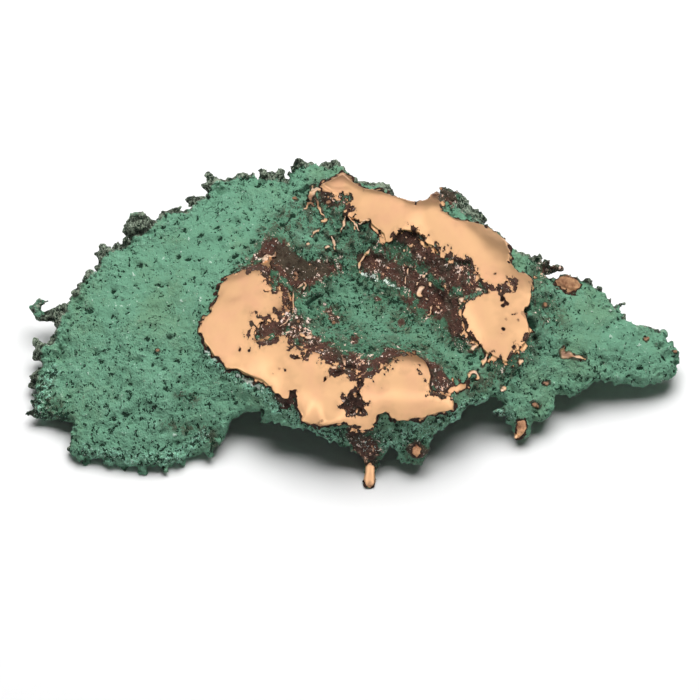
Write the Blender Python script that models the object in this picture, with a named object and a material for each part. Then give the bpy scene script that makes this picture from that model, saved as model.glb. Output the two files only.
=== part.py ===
"""Native copper nugget: one ragged, warped sheet of copper, 196 mm long.

The sheet bulges into a ring with a dent in its middle. A wide lobe slopes off to the left and a
tapering tail to the right. Knobs, thorns and two drips stand out of its edge, and it rests on the
low front of the lobe, on the tail and on two stubby legs under the back of the ring.

Metres, +Z up. X runs along the nugget, and -Y is its front.

The nugget is drawn as it looks from the front and above, on a plane that leans back so that it is
square to a line of sight falling at SIGHT_TILT. A drawn point is (across, up) in millimetres on
that plane, and on_plan() slides it along the line of sight to its place on the plan.
"""

import itertools
import math

import bmesh
import bpy
import numpy as np

MM = 0.001

# Driving dimensions.
SIGHT_TILT = math.radians(55)  # how steeply the drawing's line of sight falls
SHEET = 4.2 * MM  # thickness of the copper sheet
CENTRE_X = -0.19 * MM  # plan offsets that put the origin at the middle of the nugget's box
CENTRE_Y = 5.47 * MM
LUMPS = [(13 * MM, 0.9 * MM), (6.5 * MM, 0.7 * MM), (3.4 * MM, 0.45 * MM)]  # spacing, rise
PLATE_RISE = 0.8 * MM  # how far the smooth plates stand proud of the rough sheet
PLATE_LEDGE = 0.8 * MM  # width of the step at their edge
HOLLOWS = 90
HOLLOW_RADIUS = (1.6 * MM, 2.8 * MM)
HOLLOW_DEPTH = (0.8 * MM, 1.4 * MM)
FOOT_SINK = 0.8 * MM  # how much of the feet has been worn flat
SEED = 7

# Mesh density.
CURVE_STEPS = 4  # points between two drawn outline points
SLAB_VOXEL = 0.8 * MM
SKIN_VOXEL = 0.7 * MM
SKIN_SMOOTHING = 2
TRIANGLES = 9600
LATTICE = 32  # random values along each side of the block that the lumps are blended from

# Height of the middle of the sheet above the table: (across, up, height) in mm.
HEIGHTS = [
    # left lobe: its outer edge, its broad back and its low front
    (-95.1, 3, 8), (-87.6, -3, 7), (-92.1, -18, 4), (-96.6, -27.6, 3), (-78.6, 6, 9),
    (-69.6, 21, 9.5), (-57.6, 29.4, 10), (-42.6, 39, 10.5), (-24.6, 40.5, 12), (-15.6, 46.5, 12),
    (-66.6, 0, 11), (-51.6, 6, 13), (-48.6, 21, 12), (-33.6, 30, 13.5), (-18.6, 33, 15.5),
    (-78.6, -24, 6.5), (-81.6, -39, 2.4), (-69.6, -42, 1.7), (-56.1, -43.5, 1.7), (-42.6, -39, 3),
    (-63.6, -24, 8.5), (-48.6, -18, 11), (-41.1, -30, 7.5), (-38.1, -24, 10), (-54.6, -36, 4.5),
    # ring, left and front: its crest, then the wall below it and the front edge
    (-44.1, -3, 15.5), (-33.6, 6, 19), (-26.1, 12, 20), (-30.6, -9, 19), (-15.6, -21, 19.5),
    (-20.1, -27, 15), (-27.6, -22.5, 14), (-6.6, -31.5, 15), (-6.6, -24, 19), (8.4, -24, 21),
    (20.4, -22.5, 21), (27.9, -24, 18.5),
    (-27.6, -26.7, 11), (-15.6, -31.8, 10), (-3.6, -37.2, 8.5), (11.4, -34.8, 10),
    (23.4, -33, 10.5), (38.4, -24.6, 11.5),
    # dent in the middle of the ring
    (-6.6, 3, 12), (5.4, 6, 11), (20.4, -3, 12.5), (-0.6, -6, 15), (-15.6, 15, 15),
    (-6.6, 22.5, 15), (-18.6, 24, 15.5), (14.4, 21, 16), (26.4, 6, 15), (35.4, -9, 14.5),
    (26.4, -9, 13.5),
    # ring, back and right
    (-3.6, 40.5, 20.5), (-6.6, 45, 16.5), (8.4, 35.5, 22.5), (6, 40.2, 19), (23.4, 31, 24),
    (17.4, 34.8, 21), (34.5, 24.9, 23), (41.4, 25.8, 18.5), (43.5, 16.2, 22), (48, 20.7, 18.5),
    (38.4, 0, 19.5), (44.4, -6, 19), (51.9, 6, 20), (54.9, 16, 16),
    # tail
    (59.4, 9, 15), (68.4, 6, 13), (62.4, -6, 13), (74.4, 0, 12), (74.4, -12, 11), (86.4, -9, 9),
    (95.4, -12, 7), (86.4, -18, 6.5), (71.4, -19.5, 8.5), (56.4, -18, 9.5), (53.4, -27, 7),
    (50.4, -30.6, 5), (44.4, -23.4, 11),
]

# Edge of the sheet without its knobs, as (across, up), clockwise from the hook on the left.
OUTLINE = [
    # left lobe, upper edge
    (-84, 5.7), (-81.6, 6.9), (-81.3, 9.3), (-79.5, 11.7), (-77.1, 13.8), (-75.3, 15.9),
    (-74.4, 18.3), (-72.6, 20.1), (-69.3, 20.7), (-66.6, 22.2), (-65.7, 24.3), (-62.7, 25.2),
    (-59.7, 27.3), (-58.2, 29.7), (-55.2, 31.5), (-50.4, 31.8), (-48.3, 33), (-45.9, 35.1),
    (-42, 36.6), (-42.3, 39), (-41.1, 41.1), (-37.8, 41.7), (-33.6, 42.3), (-30, 42.6),
    (-26.7, 41.7), (-22.8, 41.7), (-19.8, 40.5), (-18.6, 41.7), (-17.7, 44.1), (-15.3, 45.9),
    (-11.7, 46.5), (-8.1, 45.6), (-4.8, 46.2),
    # back of the ring
    (-2.1, 44.4), (0.6, 41.4), (5.4, 39.9), (9.9, 38), (13.5, 36), (18, 34), (21.6, 34.4),
    (24.9, 36.6), (27.3, 36.8), (30.9, 33.3), (35.4, 30.4), (39.6, 27.8), (44.1, 25),
    (46.8, 22.6), (48.6, 19.8),
    # tail, upper edge and tip
    (51.3, 18.6), (54.9, 16.8), (56.7, 15), (57.3, 13.2), (59.7, 11.4), (63, 12), (67.5, 11.4),
    (71.4, 9.9), (74.7, 7.8), (76.8, 5.1), (79.8, 2.7), (80.7, 0.3), (85.8, -2.7), (89.7, -2.7),
    (93, -4.5), (95.1, -8.1), (95.7, -12), (96.6, -14.1), (95.4, -16.2), (92.1, -18.3),
    # tail, lower edge, and the small lobe under it
    (88.5, -19.2), (81.6, -18.6), (72.9, -18), (70.8, -20.1), (67.8, -22.5), (63.9, -22.2),
    (61.5, -21.9), (60.6, -24.3), (60.3, -27.3), (57.9, -29.4), (54, -30), (50.4, -30.9),
    (47.7, -29.7), (46.5, -26.4), (44.4, -23.4), (41.1, -22.8), (39, -24.6),
    # front of the ring, with the nick between its two drips
    (35.1, -24.9), (32.1, -27.9), (27.9, -31.5), (24.6, -33), (23.4, -36), (21.9, -38.7),
    (18, -39.6), (14.7, -39.3), (13.2, -37.5), (11.9, -33.3), (10.2, -37.8), (8.7, -40.8),
    (6, -41.7), (3, -39.9), (-2.4, -37.8), (-9, -34.8), (-12.6, -32.4), (-16.5, -32.1),
    (-21.3, -30.6),
    # bay between the ring and the left lobe
    (-24.3, -29.4), (-26.1, -27.3), (-29.4, -26.7), (-33.3, -27.9), (-36, -30), (-37.8, -33.6),
    (-39.3, -36.9),
    # left lobe, front and left edges
    (-43.5, -39.3), (-48.6, -40.5), (-54.3, -42.9), (-62.1, -43.8), (-69.9, -43.2),
    (-73.8, -41.4), (-80.4, -40.8), (-83.1, -38.7), (-83.1, -34.8), (-82.8, -30.3),
    (-87.6, -29.7), (-92.1, -28.8), (-93.3, -25.5), (-93.9, -21.3), (-94.2, -18.9),
    (-93, -15.9), (-92.4, -13.2), (-93, -9), (-88.2, -7.5), (-88.2, -4.2), (-87, -1.2),
]

# Smooth plates that stand proud of the sheet along the crest of its ring, as (across, up).
PLATES = {
    "left and front of the ring": [
        # outer edge
        (-25.2, 18.3), (-27, 16.8), (-30.6, 15.6), (-33.9, 14.4), (-37.2, 12.9), (-39, 11.1),
        (-39.9, 8.4), (-40.8, 5.1), (-42.9, 2.1), (-45.3, -0.9), (-45.9, -3.9), (-44.1, -6.9),
        (-41.7, -9.9), (-40.2, -12.9), (-38.1, -15), (-35.1, -15), (-31.8, -15.6),
        (-28.2, -17.1), (-25.8, -18.9), (-23.7, -21.3), (-22.2, -23.4), (-20.7, -24.3),
        (-19.2, -23.1), (-16.8, -22.8), (-17.4, -25.2), (-16.8, -27.6), (-15.3, -30.3),
        (-12.3, -31.5), (-9.3, -32.1), (-6.3, -31.2), (-3.3, -30.6), (-0.9, -31.8),
        (2.1, -32.7), (4.5, -33.3), (6, -32.1), (6.3, -30.3), (7.5, -28.8), (9.6, -27.6),
        (11.4, -28.8), (13.2, -30), (15.6, -30.3), (18, -29.4), (20.1, -28.8), (22.5, -27.9),
        (24.9, -27.3), (27.9, -27), (30, -26.1),
        # inner edge
        (30, -24.3), (28.8, -22.8), (26.7, -21.9), (24.3, -21.3), (23.4, -19.2), (23.4, -16.8),
        (22.8, -14.7), (21.6, -12.6), (19.5, -11.1), (17.1, -9.9), (14.4, -10.5),
        (12.3, -12.3), (10.2, -14.1), (7.8, -15.3), (4.8, -15.6), (2.7, -16.8), (0.6, -15.9),
        (-2.4, -15), (-6.9, -13.2), (-9.3, -10.2), (-13.2, -9), (-16.8, -7.8), (-18.9, -4.8),
        (-21.9, -4.8), (-25.8, -6.9), (-29.1, -6.3), (-29.1, -3.9), (-28.2, -1.8),
        (-24.3, 0.3), (-20.7, 2.1), (-18.9, 5.1), (-19.2, 7.5), (-21.9, 8.7), (-23.7, 8.1),
        (-24.6, 10.2), (-25.2, 13.2), (-24.6, 15), (-24.6, 18),
    ],
    "back and right of the ring": [
        # outer edge
        (-9, 40.8), (-5.7, 42.3), (-2.7, 43.8), (-1.2, 42.3), (1.2, 40.5), (3.9, 39.3),
        (6.3, 39), (10.2, 37.8), (12, 37.2), (15.6, 36), (19.5, 35.1), (22.8, 36),
        (24.9, 37.5), (26.4, 36.9), (26.7, 34.5), (28.2, 31.8), (31.5, 30), (35.4, 29.1),
        (39.6, 28.2), (43.5, 26.1), (46.2, 23.1), (47.4, 20.4), (47.4, 17.7), (48.9, 15.6),
        (52.2, 13.8), (54, 11.1), (53.7, 7.8), (53.1, 4.5), (51.3, 2.4), (52.5, -0.9),
        (53.1, -4.2), (51.6, -6.9), (48.9, -9), (46.2, -12.3),
        # inner edge
        (44.4, -12.3), (42.3, -11.1), (40.2, -10.2), (39.6, -7.5), (36.9, -6.3), (34.8, -4.2),
        (33.6, -0.9), (33.3, 2.4), (33.6, 5.4), (32.1, 6.3), (35.4, 7.2), (39, 8.1),
        (39.6, 9.6), (38.1, 11.7), (36.9, 15), (34.2, 17.1), (30.9, 18.6), (27.6, 20.4),
        (24.3, 22.5), (20.7, 25.2), (18.9, 26.4), (15.6, 26.4), (13.5, 24.6), (12, 23.1),
        (10.2, 23.4), (9.3, 25.8), (6.9, 27.9), (5.4, 29.4), (2.4, 28.8), (0.6, 30.3),
        (-1.8, 31.2), (-4.2, 31.2), (-2.7, 33.3), (-1.8, 35.1), (0, 36.9), (-0.9, 38.1),
        (-3.3, 38.1), (-5.7, 38.4), (-8.1, 39.9),
    ],
}

# Knobs, thorns and drips on the edge. Each runs along its points from its root to its tip, and a
# point is (across, up, rise, radius) in mm: rise is its height over the sheet at the root.
SPURS = {
    "hook": [(-85.8, 2.4, 0, 2.8), (-90.6, 1.5, 0, 1.9), (-94.2, 1.2, 0.5, 1.6),
             (-95.4, 3.3, 1, 1.5), (-94.2, 5.1, 1.5, 1.2), (-91.8, 5.7, 1.5, 0.5)],
    "upper barb": [(-78.3, 12, 0, 1.0), (-80.4, 12.6, 0, 0.6)],
    "top barb": [(-73.8, 18.9, 0, 1.2), (-77.1, 20.1, 0, 0.6)],
    "nub beside top barb": [(-70.8, 20.4, 0, 1.5), (-71.4, 21.3, 0, 1.0)],
    "great knob": [(-61.5, 27.3, 0, 3.4), (-64.5, 29.1, 0.5, 3.5), (-66.9, 27.3, 0.5, 2.5)],
    "round knob": [(-52.8, 31.8, 0, 2.0), (-53.1, 33, 0, 1.5)],
    "leaning knob": [(-45.6, 34.5, 0, 2.6), (-47.7, 36, 0.3, 2.0), (-49.2, 36.6, 0.3, 1.2)],
    "finger": [(-40.8, 40.8, 0, 2.2), (-42.3, 42.6, 0.5, 1.4), (-43.5, 44.4, 1, 1.0)],
    "nub under finger": [(-42.6, 39.9, 0, 1.6), (-44.4, 40.5, 0, 1.1)],
    "small thorn": [(-33, 42.6, 0, 1.6), (-32.7, 44.4, 0.5, 0.7)],
    "crest": [(-24.6, 42.3, 0, 1.4), (-24.3, 43.5, 0.3, 1.6), (-22.2, 42.6, 0.3, 1.4),
              (-21.3, 45, 0.8, 1.0)],
    "nub on crest": [(-24.6, 42.3, 0, 1.4), (-26.1, 42.9, 0, 0.9)],
    "top knob": [(-15.6, 45.3, 0, 2.2), (-16.2, 47.7, 0.5, 1.8)],
    "top thorn": [(-14.1, 46.2, 0, 1.2), (-12.3, 47.4, 0.3, 0.5)],
    "button": [(-7.8, 45.6, 0, 1.5), (-7.8, 47.1, 0.3, 1.1)],
    "beads behind ring": [(6.9, 39.6, 0, 1.6), (9.6, 39.6, 0, 1.5), (11.7, 38.4, 0, 1.3)],
    "crust behind ring": [(28.2, 38.1, 0, 1.6), (31.2, 36.3, 0.5, 2.6), (33.3, 33.6, 0.3, 2.3),
                          (35.4, 31.8, 0, 2.0), (37.8, 31.8, 0, 1.9), (39, 30, -0.5, 1.5)],
    "thorn on crust": [(28.8, 38.4, 0, 1.5), (26.4, 39.9, 0.5, 0.5)],
    "nub right of ring": [(48.9, 19.5, 0, 1.3), (50.7, 18.9, 0, 1.2)],
    "beak": [(57.9, 14.7, 0, 1.6), (60.9, 15.6, 0.3, 1.3), (63.3, 15.4, 0.5, 0.5)],
    "bright plate": [(63.3, 12, 0.5, 1.8), (65.4, 11.7, 0.8, 2.0), (67.8, 10.8, 0.6, 1.7)],
    "nub right of plate": [(69.9, 9.9, 0, 1.3), (70.8, 10.5, 0, 1.1)],
    "tail nub": [(75.6, 6.9, 0, 1.2), (75, 8.1, 0, 0.6)],
    "curl": [(79.5, 2.4, 0, 1.3), (79.8, 3.9, 0.5, 0.8), (80.7, 4.8, 0.8, 0.5),
             (81.9, 4.6, 1, 0.5)],
    "tail roll": [(87.9, -3.9, 0, 2.4), (90.9, -4.8, 0, 2.4), (92.4, -6.6, 0, 2.0)],
    "tip knob": [(94.8, -8.7, 0, 2.2), (96.9, -9.9, 0, 1.6)],
    "tip nub": [(94.8, -15.3, 0, 1.6), (96.6, -15.3, 0, 1.3)],
    "right drip": [(50.7, -29.4, 0, 3.2), (50.7, -32.7, -1.5, 2.6), (49.5, -35.1, -3.5, 0.9)],
    "blunt knob": [(18.3, -36.6, 0, 4.2), (18.9, -39, -1.5, 3.9)],
    "tip of blunt knob": [(19.5, -40.5, -2.5, 1.8), (19.3, -42.3, -3.5, 1.0)],
    "foot of blunt knob": [(15.6, -38.1, 0, 1.9), (15.3, -40.8, -2, 1.4)],
    "long drip": [(5.7, -39, 0, 3.2), (5.7, -42.6, -2.5, 1.9), (5.4, -45.6, -4.2, 1.6),
                  (5.2, -48.6, -6, 2.1)],
    "front thorn": [(-55.5, -42.9, 0, 1.5), (-55.6, -45.3, -0.5, 0.5)],
    "front nub": [(-43.5, -38.4, 0, 1.6), (-42.3, -40.2, -0.5, 1.0)],
    "corner nub": [(-82.2, -39, 0, 1.6), (-83.4, -39.6, 0, 1.1)],
    "left spike": [(-91.5, -27.6, 0, 2.3), (-94.8, -27.8, 0, 1.6), (-97.5, -28.1, 0, 0.8)],
    "left nub": [(-93, -20.7, 0, 1.6), (-94.2, -19.2, 0, 1.2)],
    "upper left nub": [(-92.4, -15.6, 0, 1.4), (-93.6, -15.6, 0, 1.1)],
    "left knob": [(-90.6, -10.2, 0, 2.8), (-93.3, -10.2, 0, 2.4)],
    "left thorn": [(-93.6, -10.8, 0, 1.2), (-95.4, -10.8, 0, 0.5)],
}

# Stubby legs that hang from the sheet to the table. The place is (across, up) of the sheet over
# the leg and the lean is how far its foot stands from under that place, as (x, y), all in mm.
LEGS = {
    "behind ring": ((22, 30), (3, -2)),
    "under lobe": ((-50, 24), (-2, 2)),
    "under tail": ((66, 1), (2, -2)),
}
LEG_ROOT = 6.0 * MM
LEG_WAIST = 2.8 * MM
LEG_FOOT = 3.2 * MM


def smooth_sheet(points):
    """Weights of the thin plate that bends as little as it can through all the height posts."""
    x, y, z = points.T
    count = len(points)
    flat = np.column_stack([np.ones(count), x, y])
    system = np.zeros((count + 3, count + 3))
    system[:count, :count] = bend(x[:, None] - x, y[:, None] - y)
    system[:count, count:] = flat
    system[count:, :count] = flat.T
    return np.linalg.solve(system, np.append(z, [0, 0, 0]))


def bend(dx, dy):
    """The thin plate's own curve, r squared times log r, of the distance between two points."""
    r2 = dx * dx + dy * dy
    return 0.5 * r2 * np.log(r2 + 1e-12)


def plan_y(up, z):
    """Plan y of a drawn point whose height is known."""
    return (up - z * math.cos(SIGHT_TILT)) / math.sin(SIGHT_TILT) + CENTRE_Y


POSTS = np.array([(x * MM + CENTRE_X, plan_y(up * MM, z * MM), z * MM) for x, up, z in HEIGHTS])
BENDS = smooth_sheet(POSTS)


def height(x, y):
    """Height of the middle of the sheet at each plan point."""
    bends = bend(x[:, None] - POSTS[:, 0], y[:, None] - POSTS[:, 1])
    return bends @ BENDS[:-3] + BENDS[-3] + BENDS[-2] * x + BENDS[-1] * y


def on_plan(drawn):
    """Slides drawn points (across, up) in mm along the line of sight until they meet the sheet."""
    x, up = np.array(drawn, float).T * MM
    x = x + CENTRE_X
    y = plan_y(up, 10 * MM)
    for _ in range(60):
        y = 0.5 * (y + plan_y(up, height(x, y)))
    return x, y


def depth_inside(x, y, ring):
    """Distance of each plan point from the edge of a closed ring, above zero inside it."""
    start = ring
    step = np.roll(ring, -1, axis=0) - ring
    offset_x = x[:, None] - start[:, 0]
    offset_y = y[:, None] - start[:, 1]
    share = (offset_x * step[:, 0] + offset_y * step[:, 1]) / (step ** 2).sum(axis=1)
    share = np.clip(share, 0, 1)
    gap = np.hypot(offset_x - share * step[:, 0], offset_y - share * step[:, 1]).min(axis=1)
    level = (offset_y >= 0) != (offset_y >= step[:, 1])
    safe = np.where(step[:, 1] == 0, 1, step[:, 1])
    crossed = level & (offset_x < offset_y * step[:, 0] / safe)
    inside = crossed.sum(axis=1) % 2 == 1
    return np.where(inside, gap, -gap)


def ease(share):
    """Smooth step from 0 to 1."""
    share = np.clip(share, 0, 1)
    return share * share * (3 - 2 * share)


def lumps(points, spacing, seed):
    """Smooth random field from -1 to 1: lattice values eased between the corners of each cell."""
    table = np.random.default_rng(seed).uniform(-1, 1, (LATTICE, LATTICE, LATTICE))
    turned = points @ TURN.T / spacing
    cell = np.floor(turned).astype(int)
    share = ease(turned - cell)
    total = np.zeros(len(points))
    for corner in itertools.product((0, 1), repeat=3):
        weight = np.where(corner, share, 1 - share).prod(axis=1)
        i, j, k = ((cell + corner) % LATTICE).T
        total += weight * table[i, j, k]
    return total


# The lattice is turned away from the axes so that its rows don't show.
TURN = np.array([(0.8, 0.36, 0.48), (-0.6, 0.48, 0.64), (0, -0.8, 0.6)])


def closed_curve(x, y, count):
    """Catmull-Rom curve through a closed ring of points, as count points from each to the next."""
    ring = np.column_stack([x, y])
    before, after, beyond = (np.roll(ring, shift, axis=0) for shift in (1, -1, -2))
    steps = np.arange(count)[None, :, None] / count
    a, b, c, d = (points[:, None, :] for points in (before, ring, after, beyond))
    curve = b + 0.5 * steps * (
        c - a + steps * (2 * a - 5 * b + 4 * c - d + steps * (3 * (b - c) + d - a))
    )
    return curve.reshape(-1, 2)


def mesh_object(name, mesh):
    obj = bpy.data.objects.new(name, mesh)
    bpy.context.scene.collection.objects.link(obj)
    return obj


def remesh(obj, voxel):
    """Covers everything in the object with one closed skin of even quads."""
    skin = obj.modifiers.new("skin", "REMESH")
    skin.mode = "VOXEL"
    skin.voxel_size = voxel


def applied(obj):
    """The object's mesh with its modifiers applied. The object itself is removed."""
    graph = bpy.context.evaluated_depsgraph_get()
    mesh = bpy.data.meshes.new_from_object(obj.evaluated_get(graph))
    bpy.data.objects.remove(obj)
    return mesh


def flat_slab():
    """The outline on the plan, as a flat slab of the sheet's thickness with an even skin."""
    curve = closed_curve(*on_plan(OUTLINE), CURVE_STEPS)
    slab = bmesh.new()
    corners = [slab.verts.new((x, y, -SHEET / 2)) for x, y in curve]
    bottom = slab.faces.new(corners)
    lifted = bmesh.ops.extrude_face_region(slab, geom=[bottom])["geom"]
    top = [part for part in lifted if isinstance(part, bmesh.types.BMVert)]
    bmesh.ops.translate(slab, verts=top, vec=(0, 0, SHEET))
    bmesh.ops.recalc_face_normals(slab, faces=slab.faces)
    mesh = bpy.data.meshes.new("slab")
    slab.to_mesh(mesh)
    slab.free()
    obj = mesh_object("slab", mesh)
    remesh(obj, SLAB_VOXEL)
    return applied(obj)


def plate_share(x, y):
    """1 on the smooth plates, 0 off them, and a short step between the two."""
    depths = [depth_inside(x, y, closed_curve(*on_plan(ring), 1)) for ring in PLATES.values()]
    return ease(np.maximum(*depths) / PLATE_LEDGE + 0.5)


def hollows(x, y):
    """Depth of the rounded hollows scattered over the rough sheet."""
    chance = np.random.default_rng(SEED)
    places = chance.uniform((-0.1, -0.06), (0.1, 0.06), (HOLLOWS, 2))
    radii = chance.uniform(*HOLLOW_RADIUS, HOLLOWS)
    depths = chance.uniform(*HOLLOW_DEPTH, HOLLOWS)
    gaps = np.hypot(x[:, None] - places[:, 0], y[:, None] - places[:, 1]) / radii
    return (depths * ease(1 - gaps)).max(axis=1)


def relief(x, y, face):
    """Height of the surface's own relief. Face is 1 on top of the sheet and -1 under it."""
    places = np.column_stack([x, y, 0.01 * face])
    rough = sum(
        rise * lumps(places, spacing, SEED + index) for index, (spacing, rise) in enumerate(LUMPS)
    )
    plate = plate_share(x, y) * (face > 0)
    return rough * (1 - 0.75 * plate) + PLATE_RISE * plate - hollows(x, y) * face * (1 - plate)


def bend_slab(mesh):
    """Lays the flat slab on the warped sheet: each point goes along the sheet's normal."""
    flat = np.empty(len(mesh.vertices) * 3, np.float32)
    mesh.vertices.foreach_get("co", flat)
    x, y, across = flat.reshape(-1, 3).astype(float).T
    step = 0.1 * MM
    middle = height(x, y)
    slope_x = (height(x + step, y) - middle) / step
    slope_y = (height(x, y + step) - middle) / step
    normal = np.column_stack([-slope_x, -slope_y, np.ones(len(x))])
    normal /= np.linalg.norm(normal, axis=1)[:, None]
    face = across / (SHEET / 2)
    out = across + relief(x, y, np.sign(across)) * np.abs(face)
    points = np.column_stack([x, y, middle]) + normal * out[:, None]
    mesh.vertices.foreach_set("co", points.astype(np.float32).ravel())
    mesh.update()
    return mesh


def add_ball(shape, centre, radius):
    """One round bead of the chain that makes a knob, thorn, drip or leg."""
    made = bmesh.ops.create_icosphere(shape, subdivisions=2, radius=radius)
    bmesh.ops.translate(shape, verts=made["verts"], vec=centre)


def add_chain(shape, points, radii):
    """A rounded, tapering rod along points, as beads close enough together to fuse."""
    for start, end, thick, thin in zip(points, points[1:], radii, radii[1:]):
        count = max(2, math.ceil(np.linalg.norm(end - start) / (0.35 * min(thick, thin))))
        for share in np.linspace(0, 1, count):
            add_ball(shape, start + share * (end - start), thick + share * (thin - thick))


def add_spur(shape, drawn):
    """A knob, thorn or drip, which starts on the sheet's middle at its root."""
    (root_x,), (root_y,) = on_plan([drawn[0][:2]])
    root = height(np.array([root_x]), np.array([root_y]))[0]
    points = []
    for across, up, rise, _ in drawn:
        z = root + rise * MM
        points.append(np.array([across * MM + CENTRE_X, plan_y(up * MM, z), z]))
    add_chain(shape, points, [radius * MM for *_, radius in drawn])


def add_leg(shape, place, lean):
    """A stubby leg that hangs from the sheet like a drip and reaches the table."""
    (x,), (y,) = on_plan([place])
    top = height(np.array([x]), np.array([y]))[0] - LEG_ROOT / 2
    foot = np.array([x + lean[0] * MM, y + lean[1] * MM, LEG_FOOT - FOOT_SINK])
    root = np.array([x, y, top])
    waist = root + 0.6 * (foot - root)
    add_chain(shape, [root, waist, foot], [LEG_ROOT, LEG_WAIST, LEG_FOOT])


def table_top():
    """Cutter below the table's surface, which leaves the flats that the nugget rests on."""
    bpy.ops.mesh.primitive_cube_add(size=1, location=(0, 0, -0.5))
    cutter = bpy.context.object
    cutter.name = "table"
    cutter.hide_render = True
    cutter.display_type = "WIRE"
    return cutter


def patina():
    """Green patina over copper, the finish of most of the surface."""
    material = bpy.data.materials.new("patina")
    material.use_nodes = True
    shader = material.node_tree.nodes["Principled BSDF"]
    shader.inputs["Base Color"].default_value = (0.13, 0.32, 0.21, 1)
    shader.inputs["Roughness"].default_value = 0.75
    shader.inputs["Metallic"].default_value = 0.0
    return material


def nugget():
    """The sheet, its spurs and its legs under one skin, worn flat where it meets the table."""
    shape = bmesh.new()
    shape.from_mesh(bend_slab(flat_slab()))
    for drawn in SPURS.values():
        add_spur(shape, drawn)
    for place, lean in LEGS.values():
        add_leg(shape, place, lean)
    mesh = bpy.data.meshes.new("copper_nugget")
    shape.to_mesh(mesh)
    shape.free()
    mesh.materials.append(patina())
    obj = mesh_object("copper_nugget", mesh)
    remesh(obj, SKIN_VOXEL)
    soften = obj.modifiers.new("soften", "SMOOTH")
    soften.factor = 0.5
    soften.iterations = SKIN_SMOOTHING
    graph = bpy.context.evaluated_depsgraph_get()
    quads = len(obj.evaluated_get(graph).data.polygons)
    facets = obj.modifiers.new("facets", "DECIMATE")
    facets.ratio = TRIANGLES / (2 * quads)
    flats = obj.modifiers.new("flats", "BOOLEAN")
    flats.operation = "DIFFERENCE"
    flats.object = table_top()
    return obj


def main():
    for obj in list(bpy.data.objects):
        bpy.data.objects.remove(obj)
    nugget()


main()
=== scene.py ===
"""Native copper nugget: its rough patina, smooth copper plates and dark oxide, on a pale floor.

The nugget is a warped, ragged sheet. It is drawn as it looks from the front and above, on a plane
that leans back so that it is square to a line of sight falling at the sight tilt. A drawn point is
(across, up) in millimetres on that plane, and every mark on the nugget is placed by it.
"""

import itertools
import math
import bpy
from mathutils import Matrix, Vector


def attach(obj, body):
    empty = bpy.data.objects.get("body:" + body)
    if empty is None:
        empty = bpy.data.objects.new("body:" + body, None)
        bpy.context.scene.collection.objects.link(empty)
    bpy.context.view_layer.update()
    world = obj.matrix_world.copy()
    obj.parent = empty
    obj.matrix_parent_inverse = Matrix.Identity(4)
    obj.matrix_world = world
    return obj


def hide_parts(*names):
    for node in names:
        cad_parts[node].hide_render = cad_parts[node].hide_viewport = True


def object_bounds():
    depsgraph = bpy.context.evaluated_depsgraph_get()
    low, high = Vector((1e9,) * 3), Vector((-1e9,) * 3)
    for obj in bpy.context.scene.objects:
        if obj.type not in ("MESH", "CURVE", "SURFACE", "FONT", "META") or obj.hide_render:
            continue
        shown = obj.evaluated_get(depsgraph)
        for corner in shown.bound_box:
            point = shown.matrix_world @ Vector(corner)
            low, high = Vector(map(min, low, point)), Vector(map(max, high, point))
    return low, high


bl_info = {
    "name": "Native Copper Nugget",
    "version": (1, 0, 0),
    "blender": (4, 5, 0),
    "location": "View3D > Sidebar > Nugget",
    "description": "Builds a patinated native copper nugget and the stage it lies on",
    "category": "Add Mesh",
}

import bpy
import numpy as np

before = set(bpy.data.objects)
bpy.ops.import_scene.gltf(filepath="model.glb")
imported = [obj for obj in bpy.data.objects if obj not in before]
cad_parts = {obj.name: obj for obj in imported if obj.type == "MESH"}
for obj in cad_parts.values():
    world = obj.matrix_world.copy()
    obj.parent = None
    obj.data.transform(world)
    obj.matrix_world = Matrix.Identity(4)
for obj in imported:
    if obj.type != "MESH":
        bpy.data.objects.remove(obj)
SOLID_BOX = [list(corner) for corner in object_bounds()]

MM = 0.001
NODE = "copper_nugget"
SKIN = ("nugget_top_left", "nugget_top_right", "nugget_underside")
SEED = 7
LATTICE = 32  # random values along each side of the block that the lumps are blended from
# Turns that block away from the axes, so that its rows don't show.
TURN = np.array([(0.8, 0.36, 0.48), (-0.6, 0.48, 0.64), (0, -0.8, 0.6)])
LUMPS = [(13 * MM, 0.9 * MM), (6.5 * MM, 0.7 * MM), (3.4 * MM, 0.45 * MM)]  # spacing and rise
HOLLOWS = 90  # rounded hollows scattered over the rough sheet
CHUNK = 2000  # points measured against the drawing at a time
REACH = 6.0  # mm of the drawing: nothing is measured further out than this
SLIDES = 60  # steps in which a drawn point slides along the line of sight to the sheet
START_HEIGHT = 10 * MM  # height that it starts from
SLAB_POINTS = 4  # points on the slab's edge for each drawn point of the outline
EDGE_POINTS = 8  # places for a knob for each drawn point of the outline
SLAB_VOXEL = 0.8 * MM  # width of the quads in the flat slab before it is bent
DROP_VOXEL = 0.14 * MM  # width of the quads in the drops and wires
BEAD_GAP = 0.35  # gap between the beads of a chain, as a share of the smaller radius
KNOB_BEADS = 4  # points that a small knob of the edge wanders through
PLATE_CLEAR = 1.6  # mm of the drawing: no small knob is nearer to a plate
CLUSTER = 4  # beads of a lone drop
LEG_ROOT = 6.0 * MM  # radii of a leg, from its root in the sheet to its foot on the table
LEG_WAIST = 2.8 * MM
LEG_FOOT = 3.2 * MM
FOOT_SINK = 0.8 * MM  # how much of a round foot is worn flat
FINE_EDGE = 2.0  # mm of the drawing: the skin has finer quads this far in from the edge
FINE_MARK = 1.0  # mm of the drawing: and this far to both sides of the edge of a mark
FACING_DOWN = -0.1  # a face whose normal has less z than this is part of the underside
HIDDEN = -9  # mm added to the depth of a mark where the eye can't see the skin
BACK_EDGE = (0.5, -0.8)  # mm of the drawing: the way in from the edges that carry the rind
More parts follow.
